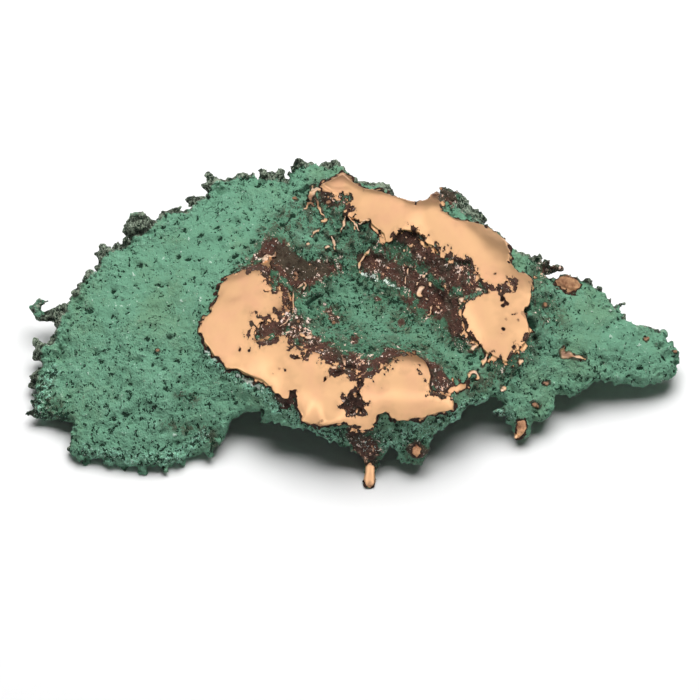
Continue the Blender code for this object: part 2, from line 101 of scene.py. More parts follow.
NEAR_CELL = 0.6  # mm of the drawing: side of a cell of the grid that finds the nearest skin
NEAR_GAP = 2.5 * MM  # skin that lies this far behind the nearest can't be seen
DROP_SINK = 0.3  # how deep a drop's bead is sunk in the skin, as a share of its radius
AIM = (-0.6, -9, 12)  # middle of the view: across and up in the drawing, and height, in mm
FLOOR_HALF = 3.0  # m from the middle of the floor to each of its edges

# Height of the middle of the sheet above the table: (across, up, height) in mm.
HEIGHTS = [
    # left lobe: its outer edge, its broad back and its low front
    (-95.1, 3, 8), (-87.6, -3, 7), (-92.1, -18, 4), (-96.6, -27.6, 3), (-78.6, 6, 9), (-69.6, 21, 9.5),
    (-57.6, 29.4, 10), (-42.6, 39, 10.5), (-24.6, 40.5, 12), (-15.6, 46.5, 12), (-66.6, 0, 11),
    (-51.6, 6, 13), (-48.6, 21, 12), (-33.6, 30, 13.5), (-18.6, 33, 15.5), (-78.6, -24, 6.5),
    (-81.6, -39, 2.4), (-69.6, -42, 1.7), (-56.1, -43.5, 1.7), (-42.6, -39, 3), (-63.6, -24, 8.5),
    (-48.6, -18, 11), (-41.1, -30, 7.5), (-38.1, -24, 10), (-54.6, -36, 4.5),
    # ring, left and front: its crest, then the wall below it and the front edge
    (-44.1, -3, 15.5), (-33.6, 6, 19), (-26.1, 12, 20), (-30.6, -9, 19), (-15.6, -21, 19.5),
    (-20.1, -27, 15), (-27.6, -22.5, 14), (-6.6, -31.5, 15), (-6.6, -24, 19), (8.4, -24, 21),
    (20.4, -22.5, 21), (27.9, -24, 18.5), (-27.6, -26.7, 11), (-15.6, -31.8, 10), (-3.6, -37.2, 8.5),
    (11.4, -34.8, 10), (23.4, -33, 10.5), (38.4, -24.6, 11.5),
    # dent in the middle of the ring
    (-6.6, 3, 12), (5.4, 6, 11), (20.4, -3, 12.5), (-0.6, -6, 15), (-15.6, 15, 15), (-6.6, 22.5, 15),
    (-18.6, 24, 15.5), (14.4, 21, 16), (26.4, 6, 15), (35.4, -9, 14.5), (26.4, -9, 13.5),
    # ring, back and right
    (-3.6, 40.5, 20.5), (-6.6, 45, 16.5), (8.4, 35.5, 22.5), (6, 40.2, 19), (23.4, 31, 24),
    (17.4, 34.8, 21), (34.5, 24.9, 23), (41.4, 25.8, 18.5), (43.5, 16.2, 22), (48, 20.7, 18.5),
    (38.4, 0, 19.5), (44.4, -6, 19), (51.9, 6, 20), (54.9, 16, 16),
    # tail
    (59.4, 9, 15), (68.4, 6, 13), (62.4, -6, 13), (74.4, 0, 12), (74.4, -12, 11), (86.4, -9, 9),
    (95.4, -12, 7), (86.4, -18, 6.5), (71.4, -19.5, 8.5), (56.4, -18, 9.5), (53.4, -27, 7),
    (50.4, -30.6, 5), (44.4, -23.4, 11),
]

# Edge of the sheet without its knobs, as (across, up), clockwise from the hook on the left.
OUTLINE = [
    # left lobe, upper edge
    (-84, 5.7), (-81.6, 6.9), (-81.3, 9.3), (-79.5, 11.7), (-77.1, 13.8), (-75.3, 15.9), (-74.4, 18.3),
    (-72.6, 20.1), (-69.3, 20.7), (-66.6, 22.2), (-65.7, 24.3), (-62.7, 25.2), (-59.7, 27.3), (-58.2, 29.7),
    (-55.2, 31.5), (-50.4, 31.8), (-48.3, 33), (-45.9, 35.1), (-42, 36.6), (-42.3, 39), (-41.1, 41.1),
    (-37.8, 41.7), (-33.6, 42.3), (-30, 42.6), (-26.7, 41.7), (-22.8, 41.7), (-19.8, 40.5), (-18.6, 41.7),
    (-17.7, 44.1), (-15.3, 45.9), (-11.7, 46.5), (-8.1, 45.6), (-4.8, 46.2),
    # back of the ring
    (-2.1, 44.4), (0.6, 41.4), (5.4, 39.9), (9.9, 38), (13.5, 36), (18, 34), (21.6, 34.4), (24.9, 36.6),
    (27.3, 36.8), (30.9, 33.3), (35.4, 30.4), (39.6, 27.8), (44.1, 25), (46.8, 22.6), (48.6, 19.8),
    # tail, upper edge and tip
    (51.3, 18.6), (54.9, 16.8), (56.7, 15), (57.3, 13.2), (59.7, 11.4), (63, 12), (67.5, 11.4), (71.4, 9.9),
    (74.7, 7.8), (76.8, 5.1), (79.8, 2.7), (80.7, 0.3), (85.8, -2.7), (89.7, -2.7), (93, -4.5),
    (95.1, -8.1), (95.7, -12), (96.6, -14.1), (95.4, -16.2), (92.1, -18.3),
    # tail, lower edge, and the small lobe under it
    (88.5, -19.2), (81.6, -18.6), (72.9, -18), (70.8, -20.1), (67.8, -22.5), (63.9, -22.2), (61.5, -21.9),
    (60.6, -24.3), (60.3, -27.3), (57.9, -29.4), (54, -30), (50.4, -30.9), (47.7, -29.7), (46.5, -26.4),
    (44.4, -23.4), (41.1, -22.8), (39, -24.6),
    # front of the ring, with the nick between its two drips
    (35.1, -24.9), (32.1, -27.9), (27.9, -31.5), (24.6, -33), (23.4, -36), (21.9, -38.7), (18, -39.6),
    (14.7, -39.3), (13.2, -37.5), (11.9, -33.3), (10.2, -37.8), (8.7, -40.8), (6, -41.7), (3, -39.9),
    (-2.4, -37.8), (-9, -34.8), (-12.6, -32.4), (-16.5, -32.1), (-21.3, -30.6),
    # bay between the ring and the left lobe
    (-24.3, -29.4), (-26.1, -27.3), (-29.4, -26.7), (-33.3, -27.9), (-36, -30), (-37.8, -33.6),
    (-39.3, -36.9),
    # left lobe, front and left edges
    (-43.5, -39.3), (-48.6, -40.5), (-54.3, -42.9), (-62.1, -43.8), (-69.9, -43.2), (-73.8, -41.4),
    (-80.4, -40.8), (-83.1, -38.7), (-83.1, -34.8), (-82.8, -30.3), (-87.6, -29.7), (-92.1, -28.8),
    (-93.3, -25.5), (-93.9, -21.3), (-94.2, -18.9), (-93, -15.9), (-92.4, -13.2), (-93, -9), (-88.2, -7.5),
    (-88.2, -4.2), (-87, -1.2),
]

# Knobs, thorns and drips on the edge. Each runs along its points from its root to its tip, and a
# point is (across, up, rise, radius) in mm: rise is its height over the sheet at the root.
SPURS = {
    "hook": [
        (-85.8, 2.4, 0, 2.8), (-90.6, 1.5, 0, 1.9), (-94.2, 1.2, 0.5, 1.6), (-95.4, 3.3, 1, 1.5),
        (-94.2, 5.1, 1.5, 1.2), (-91.8, 5.7, 1.5, 0.5),
    ],
    "upper barb": [(-78.3, 12, 0, 1.0), (-80.4, 12.6, 0, 0.6)],
    "top barb": [(-73.8, 18.9, 0, 1.2), (-77.1, 20.1, 0, 0.6)],
    "nub beside top barb": [(-70.8, 20.4, 0, 1.5), (-71.4, 21.3, 0, 1.0)],
    "great knob": [(-61.5, 27.3, 0, 3.4), (-64.5, 29.1, 0.5, 3.5), (-66.9, 27.3, 0.5, 2.5)],
    "round knob": [(-52.8, 31.8, 0, 2.0), (-53.1, 33, 0, 1.5)],
    "leaning knob": [(-45.6, 34.5, 0, 2.6), (-47.7, 36, 0.3, 2.0), (-49.2, 36.6, 0.3, 1.2)],
    "finger": [(-40.8, 40.8, 0, 2.2), (-42.3, 42.6, 0.5, 1.4), (-43.5, 44.4, 1, 1.0)],
    "nub under finger": [(-42.6, 39.9, 0, 1.6), (-44.4, 40.5, 0, 1.1)],
    "small thorn": [(-33, 42.6, 0, 1.6), (-32.7, 44.4, 0.5, 0.7)],
    "crest": [
        (-24.6, 42.3, 0, 1.4), (-24.3, 43.5, 0.3, 1.6), (-22.2, 42.6, 0.3, 1.4), (-21.3, 45, 0.8, 1.0),
    ],
    "nub on crest": [(-24.6, 42.3, 0, 1.4), (-26.1, 42.9, 0, 0.9)],
    "top knob": [(-15.6, 45.3, 0, 2.2), (-16.2, 47.7, 0.5, 1.8)],
    "top thorn": [(-14.1, 46.2, 0, 1.2), (-12.3, 47.4, 0.3, 0.5)],
    "button": [(-7.8, 45.6, 0, 1.5), (-7.8, 47.1, 0.3, 1.1)],
    "beads behind ring": [(6.9, 39.6, 0, 1.6), (9.6, 39.6, 0, 1.5), (11.7, 38.4, 0, 1.3)],
    "crust behind ring": [
        (28.2, 38.1, 0, 1.6), (31.2, 36.3, 0.5, 2.6), (33.3, 33.6, 0.3, 2.3), (35.4, 31.8, 0, 2.0),
        (37.8, 31.8, 0, 1.9), (39, 30, -0.5, 1.5),
    ],
    "thorn on crust": [(28.8, 38.4, 0, 1.5), (26.4, 39.9, 0.5, 0.5)],
    "nub right of ring": [(48.9, 19.5, 0, 1.3), (50.7, 18.9, 0, 1.2)],
    "beak": [(57.9, 14.7, 0, 1.6), (60.9, 15.6, 0.3, 1.3), (63.3, 15.4, 0.5, 0.5)],
    "bright plate": [(63.3, 12, 0.5, 1.8), (65.4, 11.7, 0.8, 2.0), (67.8, 10.8, 0.6, 1.7)],
    "nub right of plate": [(69.9, 9.9, 0, 1.3), (70.8, 10.5, 0, 1.1)],
    "tail nub": [(75.6, 6.9, 0, 1.2), (75, 8.1, 0, 0.6)],
    "curl": [(79.5, 2.4, 0, 1.3), (79.8, 3.9, 0.5, 0.8), (80.7, 4.8, 0.8, 0.5), (81.9, 4.6, 1, 0.5)],
    "tail roll": [(87.9, -3.9, 0, 2.4), (90.9, -4.8, 0, 2.4), (92.4, -6.6, 0, 2.0)],
    "tip knob": [(94.8, -8.7, 0, 2.2), (96.9, -9.9, 0, 1.6)],
    "tip nub": [(94.8, -15.3, 0, 1.6), (96.6, -15.3, 0, 1.3)],
    "right drip": [(50.7, -29.4, 0, 3.2), (50.7, -32.7, -1.5, 2.6), (49.5, -35.1, -3.5, 0.9)],
    "blunt knob": [(18.3, -36.6, 0, 4.2), (18.9, -39, -1.5, 3.9)],
    "tip of blunt knob": [(19.5, -40.5, -2.5, 1.8), (19.3, -42.3, -3.5, 1.0)],
    "foot of blunt knob": [(15.6, -38.1, 0, 1.9), (15.3, -40.8, -2, 1.4)],
    "long drip": [
        (5.7, -39, 0, 3.2), (5.7, -42.6, -2.5, 1.9), (5.4, -45.6, -4.2, 1.6), (5.2, -48.6, -6, 2.1),
    ],
    "front thorn": [(-55.5, -42.9, 0, 1.5), (-55.6, -45.3, -0.5, 0.5)],
    "front nub": [(-43.5, -38.4, 0, 1.6), (-42.3, -40.2, -0.5, 1.0)],
    "corner nub": [(-82.2, -39, 0, 1.6), (-83.4, -39.6, 0, 1.1)],
    "left spike": [(-91.5, -27.6, 0, 2.3), (-94.8, -27.8, 0, 1.6), (-97.5, -28.1, 0, 0.8)],
    "left nub": [(-93, -20.7, 0, 1.6), (-94.2, -19.2, 0, 1.2)],
    "upper left nub": [(-92.4, -15.6, 0, 1.4), (-93.6, -15.6, 0, 1.1)],
    "left knob": [(-90.6, -10.2, 0, 2.8), (-93.3, -10.2, 0, 2.4)],
    "left thorn": [(-93.6, -10.8, 0, 1.2), (-95.4, -10.8, 0, 0.5)],
}

# Stubby legs that hang from the sheet to the table. The place is (across, up) of the sheet over
# the leg and the lean is how far its foot stands from under that place, as (x, y), all in mm.
LEGS = {
    "behind ring": ((22, 30), (3, -2)),
    "under lobe": ((-50, 24), (-2, 2)),
    "under tail": ((66, 1), (2, -2)),
}

# Smooth plates that stand proud of the sheet along the crest of its ring, as (across, up).
PLATES = {
    "left and front of the ring": [
        (-25.2, 18.3), (-27, 16.8), (-30.6, 15.6), (-33.9, 14.4), (-37.2, 12.9), (-39, 11.1), (-39.9, 8.4),
        (-40.8, 5.1), (-42.9, 2.1), (-45.3, -0.9), (-45.9, -3.9), (-44.1, -6.9), (-42.3, -9),
        (-40.8, -11.4), (-38.4, -13.5), (-37.5, -14.7), (-34.2, -14.7), (-32.4, -15.6), (-29.7, -16.8),
        (-26.7, -18), (-24.3, -20.1), (-22.8, -22.2), (-21, -23.7), (-19.5, -23.7), (-16.8, -23.4),
        (-17.1, -26.1), (-15.6, -28.5), (-15, -30), (-13.2, -30.6), (-10.8, -31.5), (-7.2, -31.2),
        (-2.7, -30.6), (-0.3, -31.8), (2.4, -32.7), (4.2, -33.3), (6.3, -33), (6.6, -30.9), (7.5, -29.1),
        (8.7, -27.9), (9.9, -27.4), (10.8, -27.9), (11.7, -29.1), (13.5, -30), (15.9, -30), (19.5, -29.7),
        (23.4, -28.2), (25.8, -27.4), (30, -26.8), (30.3, -25.2), (29.7, -23.4), (28.2, -22.5),
        (25.8, -22.2), (23.4, -21.6), (22.8, -19.8), (23.4, -16.8), (22.8, -14.7), (21.6, -12.6),
        (19.5, -11.1), (17.1, -9.9), (14.4, -10.5), (12.3, -12.3), (10.2, -14.1), (7.8, -15.3),
        (4.8, -15.6), (2.7, -16.8), (0.6, -15.9), (-2.4, -15), (-6, -13.8), (-7.5, -11.4), (-9.3, -10.2),
        (-13.2, -9), (-16.8, -7.8), (-18.9, -4.8), (-21.9, -4.8), (-25.8, -6.9), (-29.1, -6.3),
        (-29.1, -3.9), (-28.2, -1.8), (-24.3, 0.3), (-20.7, 2.1), (-18.9, 5.1), (-19.2, 7.5), (-21.9, 8.7),
        (-23.7, 8.1), (-24.6, 10.2), (-25.2, 13.2), (-24.6, 15), (-24.6, 18),
    ],
    "back and right of the ring": [
        (-9, 40.8), (-5.7, 42.3), (-2.7, 43.8), (-1.2, 42.3), (1.2, 40.5), (3.9, 39.3), (6.3, 39),
        (10.2, 37.8), (12, 37.2), (15.6, 36), (19.5, 35.1), (22.8, 36), (24, 37.5), (25.5, 38.1),
        (26.7, 37.5), (26.7, 34.8), (27.9, 32.1), (31.2, 30), (34.8, 29.4), (39, 28.5), (42, 27.3),
        (44.1, 25.5), (46.2, 23.1), (47.4, 20.1), (47.1, 17.7), (48.3, 15.6), (49.8, 14.1), (51.9, 13.8),
        (53.7, 12.3), (54, 10.2), (53.7, 7.8), (53.1, 4.5), (51.3, 2.4), (52.5, -0.9), (53.1, -4.2),
        (51.6, -6.9), (50.4, -8.7), (48, -10.5), (46.2, -12.6), (44.1, -11.7), (42.3, -10.8), (40.2, -9.9),
        (38.4, -7.8), (36, -5.7), (34.2, -3.3), (33, 1.2), (33, 4.2), (33.9, 5.1), (37.2, 6.6), (40.5, 8.4),
        (39.3, 10.2), (38.4, 12.6), (36.6, 15), (35.4, 17.4), (31.8, 17.7), (28.2, 18.9), (26.4, 18.3),
        (25.8, 20.7), (24, 22.2), (21.9, 23.1), (20.4, 26.1), (17.7, 26.7), (15.6, 27), (13.8, 26.1),
        (12.6, 24), (11.4, 23.1), (10.2, 23.4), (9.6, 25.8), (6.9, 27.9), (5.4, 29.4), (2.4, 29.4),
        (0.6, 30.6), (-1.8, 30.9), (-2.7, 32.1), (-1.8, 34.8), (0, 36.6), (-0.9, 38.1), (-3.3, 38.1),
        (-5.7, 38.4), (-8.1, 39.9),
    ],
}

# Small patches of bare copper away from the plates.
ISLANDS = {
    "face of the blunt knob": [
        (18.1, -38.4), (19.4, -37.3), (20.7, -38.4), (20.5, -40), (19.2, -40.8), (18, -39.9),
    ],
    "tip of the back plate": [
        (-9.6, 40.4), (-6, 42.2), (-2.7, 44.6), (-0.2, 42.4), (2.8, 40), (1.5, 37.6), (-1.5, 37.3),
        (-5, 37), (-8.6, 38.9),
    ],
    "bright plate on the tail": [
        (61.2, 11.7), (62.1, 12.9), (63.3, 13.7), (64.8, 13.5), (66.3, 12.9), (67.8, 12), (69.3, 10.7),
        (68.7, 9.6), (67.2, 8.7), (65.4, 9.4), (63.3, 10), (61.8, 10.5),
    ],
    "island right of the front plate": [
        (28.8, -21.3), (30, -20.1), (31.2, -19.2), (32.1, -18.4), (33.6, -19.2), (33.9, -20.4),
        (32.7, -21.3), (30.9, -21.6), (29.7, -22.2),
    ],
    "face of the long drip": [
        (4.1, -43.8), (5.4, -42.8), (6.6, -43.8), (7.2, -46.5), (6.8, -49), (5.2, -50.3), (3.8, -49),
        (3.3, -46.5),
    ],
    "face of the right drip": [
        (49.5, -30.3), (51.6, -30), (52.2, -32.1), (51.3, -33.9), (49.8, -35.4), (48.8, -35.1),
        (49.5, -33.3),
    ],
    "speck by the front notch": [
        (-21.3, -24.9), (-19.8, -24.6), (-18.6, -25.2), (-19.5, -26.4), (-21, -26.1),
    ],
}

# Drops, wires and splashes of bare copper, as chains of (across, up, radius).
STRANDS = {
    "splash head": [(-11.8, 40.1, 1.1), (-11.7, 39, 0.8), (-12, 37.5, 1.2), (-12.4, 36.3, 1)],
    "splash right arm": [(-11.7, 38.7, 0.5), (-10.5, 39.4, 0.5), (-9.6, 38.9, 0.6)],
    "splash left leg": [(-12.6, 35.7, 0.5), (-14.2, 33.6, 0.3)],
    "splash short leg": [(-12.3, 35.4, 0.4), (-11.5, 34.5, 0.2)],
    "splash right leg": [
        (-11.4, 36.9, 0.5), (-10.2, 34.8, 0.5), (-9.4, 33, 0.3), (-9, 32.1, 0.3), (-8.4, 30.6, 0.4),
    ],
    "cross": [(-9.4, 30, 0.3), (-8.1, 29.7, 0.6), (-7.5, 30.6, 0.3)],
    "streak below cross": [(-9.7, 27.5, 0.3), (-11.1, 26.4, 0.4), (-12.2, 25.2, 0.3)],
    "streak in the middle": [(-5.9, 25.1, 0.4), (-5.4, 23.1, 0.4), (-5.1, 21.1, 0.4)],
    "drop beside streak": [(-7.7, 21.9, 0.5), (-7, 22.3, 0.3)],
    "ring drop": [(-13.4, 22.9, 0.6)],
    "long streak over the dent": [
        (5.6, 21.7, 0.4), (4.8, 20.4, 0.5), (3.3, 18.9, 0.4), (2.4, 17.1, 0.6), (2.2, 15.6, 0.5),
    ],
    "streak left of the dent": [(-16.9, 14.8, 0.5), (-16.6, 13.5, 0.5), (-16.9, 12, 0.4)],
    "wire left of the dent": [
        (-17.5, 9, 0.2), (-17.6, 6, 0.3), (-17.7, 3.6, 0.4), (-18.3, 1.5, 0.2), (-19.5, -0.3, 0.2),
        (-21.3, -2.1, 0.3),
    ],
    "tangle": [(-16.2, 9.9, 0.3), (-14.7, 11.1, 0.4), (-13.8, 10.3, 0.4), (-14.7, 9, 0.3)],
    "tip of the left plate": [(-26.7, 17.4, 0.8), (-25.2, 18.9, 0.8), (-24, 19.2, 0.4), (-22.8, 20.2, 0.4)],
    "left branch": [(-1.8, 31.2, 0.5), (-2.5, 28.8, 0.4), (-3.3, 26.7, 0.3)],
    "middle branch": [(-0.9, 30.9, 0.5), (0, 30, 0.4), (1.2, 28.8, 0.4), (2.2, 26.9, 0.3)],
    "twig of the middle branch": [(1.1, 28.5, 0.3), (0.7, 26.9, 0.2)],
    "right branch": [(1.8, 28.9, 0.3), (3.6, 29.7, 0.3), (5.4, 30.3, 0.4)],
    "drop near the tongue": [(17.6, 22.2, 0.7), (18.4, 22.4, 0.5)],
    "pin drop one": [(16.3, 24.9, 0.4)],
    "pin drop two": [(15.6, 20.9, 0.4)],
    "pin drop three": [(21.9, 18.6, 0.4)],
    "pin with a head": [(16.8, 15.4, 0.6), (16.5, 14.1, 0.3), (16.2, 12, 0.2), (16.1, 10.2, 0.2)],
    "drop beside the pin": [(21.3, 12.9, 0.4), (22.3, 13.7, 0.4)],
    "tail beside the pin": [(20.7, 12, 0.4), (19.5, 10.8, 0.2), (18.8, 9.6, 0.1)],
    "great comma": [(21.6, 10, 0.5), (20.4, 8.8, 0.9), (19.9, 7.3, 0.7), (21, 6.9, 0.4)],
    "drop right of the comma": [(23.4, 10.2, 0.5), (23.7, 11.1, 0.4)],
    "pin drop four": [(24.9, 13.5, 0.4)],
    "pin drop five": [(27.9, 10.7, 0.3), (27.9, 9.6, 0.3)],
    "pin drop six": [(33.6, 9, 0.3)],
    "drop under the right plate": [(37.8, 9.3, 0.7)],
    "ball at the right plate": [(32.7, 6.1, 1)],
    "sickle": [(22.8, 1.3, 0.2), (23.6, 2.7, 0.4), (24.2, 4.5, 0.3)],
    "grain right of the sickle": [(26.2, 3.5, 0.4), (25.5, 4.2, 0.3)],
    "pin drop seven": [(18.9, 3.6, 0.3)],
    "pin drop eight": [(22.5, 6.3, 0.4)],
    "first finger": [(35.3, -9.3, 0.5), (36.6, -8.2, 0.7), (37.9, -7.6, 0.7)],
    "second finger": [(40.2, -10.7, 0.5), (39.8, -11.8, 0.7), (39.1, -13.7, 0.5)],
    "curled drop": [
        (34.9, -17.7, 0.4), (34.9, -16.4, 0.5), (35.7, -15.9, 0.6), (36.8, -15.7, 0.5), (37.8, -16.1, 0.6),
        (37.9, -17.2, 0.5), (37.2, -17.9, 0.3),
    ],
    "crumb under the right plate": [(50.7, -12.1, 0.7), (50.1, -13, 0.5)],
    "pink disc": [(45.1, -20.6, 1)],
    "nail": [
        (63.6, -7.9, 0.6), (63, -9.2, 1), (63.2, -10.6, 1.1), (65, -10.6, 1), (67.2, -11.2, 0.8),
        (69.8, -11.5, 0.8),
    ],
    "tip of the right drip": [(49, -34.2, 0.5), (49.4, -35, 0.6)],
    "pink spot on the tail": [(58, 4.5, 0.8)],
    "spot near the tip": [(88.3, -5.8, 0.8)],
    "freckle on the tip": [(96.9, -9.6, 0.6)],
    "pink grain left": [(-15.9, -0.3, 0.7)],
    "pink grain in the dent": [(-5.6, -0.8, 0.6)],
    "pink grain low left": [(-15, -4.5, 0.7)],
    "pink grains low": [(-13.5, -5.2, 0.8), (-12.3, -5.5, 0.7)],
    "pink grain low right": [(-3, -10.7, 0.4), (-1.8, -13.5, 0.6)],
    "pink grain front": [(-5.1, -14.1, 0.7)],
    "flake on the tail": [(57.4, -18.9, 0.5), (59.1, -18.8, 0.6)],
    "dusk flake on the tail": [(54, -24.9, 0.6), (55.8, -25.9, 0.9)],
    "pink spot on the lobe": [(-58.2, -9, 0.7)],
    "pink spot left": [(-17.1, 36.6, 0.7)],
    "pink lump behind": [(-7, 35.7, 0.8)],
}

# Gaps in the plates, where the dark oxide shows.
HOLES = {
    "star on the front plate": [
        (-3.3, -25.5), (-1.8, -24.6), (-2.1, -23.4), (-0.9, -23.7), (-0.3, -22.2), (0.9, -22.8), (1.8, -21),
        (1.8, -18.6), (2.7, -17.7), (3.3, -19.2), (2.7, -21.6), (3.3, -23.4), (4.8, -24.6), (5.1, -26.4),
        (3.9, -26.1), (3, -27.6), (1.5, -27), (0, -28.5), (-1.2, -27.9), (-1.8, -28.6), (-2.4, -26.7),
    ],
    "front notch": [
        (-23.4, -21), (-21.9, -22.8), (-20.1, -23.4), (-18.9, -23.1), (-18.6, -20.7), (-17.4, -21.3),
        (-16.2, -22.8), (-17.1, -23.7), (-17.2, -26.7), (-18.3, -27.3), (-18.9, -25.2), (-20.4, -26.4),
        (-22.5, -25.8), (-23.7, -23.4),
    ],
    "streak on the left plate": [
        (-18.3, -11.4), (-16.5, -10.9), (-15.3, -11.1), (-13.8, -9.6), (-12, -9), (-12.9, -10.5),
        (-14.7, -12), (-16.8, -12.3),
    ],
    "mix at the inner edge": [
        (-6.3, -17.4), (-5.4, -15.9), (-4.2, -15), (-2.4, -14.2), (-0.6, -14.7), (-0.3, -15.9),
        (-1.8, -16.5), (-3.6, -16.3), (-4.8, -17.1),
    ],
    "slot at the front": [(-9.9, -18.9), (-8.7, -18.3), (-7.8, -17.8), (-8.1, -18.6), (-9, -19.5)],
}

# Round gaps in the plates, as (across, up, radius).
SPOTS = {
    "holes in the plates": [
        (-19.7, -15.4, 0.8), (-19.2, -14.7, 0.4), (-23.1, -16.3, 0.4), (-21.3, -15, 0.2),
        (-20.4, -13.2, 0.2), (-33.4, -9.3, 0.3), (-9.5, -12.2, 0.3), (-18.8, 4.6, 0.5), (-26.2, 8.5, 0.5),
        (-30.6, 2.1, 0.3), (-29.4, -0.3, 0.4), (-30.9, -9, 0.2), (8.8, -20.2, 0.2), (15.9, -15.6, 0.2),
        (20.4, -13.9, 0), (26.8, -21.3, 0.4), (65.1, 11.3, 0.4), (42.9, 13.5, 0), (-0.6, 32.7, 0.5),
        (0.6, 33.1, 0.4), (1.6, 32.8, 0.3), (0, 31.8, 0.4), (1.3, 31.7, 0.4), (2.2, 30, 0.7),
        (-0.9, 35.9, 0.2), (23.4, 24.6, 0.2), (27, 20.7, 0.2), (29.7, 20.1, 0.2), (21.6, 25.2, 0.2),
        (44.4, -4.2, 0.4), (44.9, -2.9, 0.2), (45, 5.7, 0.4), (45.9, 5.1, 0.3), (45.3, 3.9, 0.4),
        (46.5, 4.2, 0.2), (45.6, 2.4, 0.3), (47.1, 2.1, 0.2), (47.7, 1.2, 0.4), (48.6, 1.3, 0.4),
        (47.9, 0.3, 0.4), (49, 0.1, 0.2), (46.2, 0.1, 0.2), (48.3, -8.1, 0.5), (49.2, -7.6, 0.3),
        (40.8, 9.7, 0.5), (42, 9.3, 0.4), (43.2, 8.8, 0.4), (44.4, 8.5, 0.4), (45.6, 8.4, 0.4),
        (46.8, 8.1, 0.3), (46.5, 11.1, 0.5), (46, 12.6, 0.3), (47.4, 12.2, 0.4), (48.6, 10.9, 0.4),
        (48, 9.6, 0.4), (47.1, 9.9, 0.3), (49.2, 9.3, 0.3), (48.8, 8.1, 0.3), (46.2, 9.3, 0.4),
    ],
}

# Where dark oxide covers the sheet.
CUPRITE = {
    "wedge left of the dent": [
        (-33.6, 15), (-30.6, 18.9), (-27.6, 22.2), (-25.5, 24.9), (-23.1, 25.8), (-20.4, 25.5),
        (-18.6, 23.4), (-18, 20.4), (-16.2, 17.4), (-14.1, 15.9), (-11.1, 16.5), (-8.1, 17.4), (-5.4, 18.3),
        (-3, 17.4), (-1.5, 15.6), (-3.6, 14.4), (-5.4, 13.8), (-7.5, 12.3), (-9.6, 11.1), (-12.3, 9.3),
        (-15.3, 7.5), (-16.8, 5.1), (-17.4, 2.7), (-15.6, 1.5), (-13.8, 0), (-13.2, -2.1), (-10.8, -3.9),
        (-7.8, -5.4), (-4.8, -6.3), (-2.1, -7.2), (0, -9), (2.4, -9.9), (4.8, -10.2), (7.2, -9.6),
        (9, -8.4), (12, -7.8), (14.7, -8.4), (18, -9.6), (21.6, -10.8), (24.6, -12.6), (27.6, -15),
        (29.4, -17.4), (30, -20.4), (28.2, -22.2), (24, -22.8), (21.6, -18), (17.4, -12.6), (12, -14.4),
        (4.2, -18), (-3.6, -16.8), (-10.2, -13.2), (-15.6, -9.6), (-21.6, -7.5), (-28.8, -7.8),
        (-31.8, -4.8), (-30, -0.6), (-24.6, 2.4), (-21, 5.4), (-25.2, 8.4), (-27, 15), (-30.6, 14.4),
    ],
    "band behind the dent": [
        (9.3, 23.1), (11.4, 22.2), (13.5, 24.9), (15.6, 27.6), (19.2, 27.6), (21.6, 24), (26.4, 21),
        (31.2, 19.2), (35.4, 17.4), (37.8, 14.4), (40.2, 10.8), (38.4, 7.8), (34.2, 6.6), (32.4, 4.2),
        (33.3, 0.6), (34.8, -3.6), (37.8, -6.6), (36, -8.1), (33.6, -6.6), (31.8, -5.7), (29.7, -5.7),
        (28.2, -4.2), (26.7, -1.5), (25.2, -0.3), (22.5, 0.3), (19.8, 0.9), (17.4, 2.1), (15.6, 4.2),
        (14.1, 6.6), (12.6, 9), (10.2, 11.1), (7.8, 12.3), (5.4, 13.2), (1.8, 13.8), (-0.6, 15),
        (1.2, 16.8), (4.2, 19.2), (6, 22.2), (7.2, 24.6),
    ],
    "shade under the splash": [
        (-10.2, 39), (-7.8, 39.9), (-4.8, 38.4), (-1.8, 37.2), (-1.2, 35.4), (-3, 33.6), (-4.8, 34.2),
        (-6.6, 33.6), (-9, 34.8), (-10.5, 37.2),
    ],
    "root of the long drip": [
        (0, -32.1), (3, -33.3), (6, -33.3), (7.8, -36), (8.4, -39), (7.2, -42), (5.7, -43.2), (4.2, -42.6),
        (3.3, -39.6), (1.8, -37.2), (-0.6, -35.4), (-1.8, -33),
    ],
    "lower right of the ring": [
        (42.9, -10.5), (44.4, -12), (46.5, -12.9), (48, -11.1), (49.2, -9.6), (51, -9), (52.2, -7.5),
        (53.1, -5.1), (53.7, -6.3), (52.8, -9), (51, -11.1), (49.5, -12.6), (47.7, -13.8), (45.9, -14.4),
        (43.8, -13.8), (42.3, -12.3),
    ],
    "beak": [
        (56.4, 15.6), (58.2, 16.8), (60.9, 16.8), (63.6, 15.3), (61.2, 14.8), (58.5, 14.1), (57.3, 12.6),
        (56.4, 13.2),
    ],
    "crust behind the ring": [
        (26.1, 40.5), (28.2, 39.9), (30.9, 38.4), (31.8, 37.2), (30, 37.2), (28.2, 36.9), (27.3, 35.1),
        (26.7, 36.6),
    ],
    "spot one in the dent": [
        (-9, 3.3), (-6.6, 4.2), (-4.2, 2.7), (-3.3, 0.9), (-4.5, -0.9), (-6.3, -0.9), (-7.5, 0.9),
        (-9.6, 1.8),
    ],
    "spot two in the dent": [(6.9, 6), (8.1, 7.2), (9.6, 6.3), (8.7, 4.8), (7.5, 4.8)],
    "spot three in the dent": [(-0.6, -5.4), (0.3, -3.6), (2.1, -3.6), (3, -4.8), (1.8, -7.2), (0, -6.9)],
    "spot four in the dent": [(13.2, -0.6), (15, 0.6), (16.2, -0.6), (15.3, -1.8), (13.8, -1.8)],
    "spots on the tail": [
        (54.6, 3.3), (55.2, 6), (57.6, 6.3), (60, 4.8), (59.1, 3), (56.7, 3.9), (55.8, 2.4),
    ],
    "second spot on the tail": [(57.9, 0.3), (59.4, 1.5), (61.5, 0.9), (61.2, 0), (59.1, -0.3)],
}

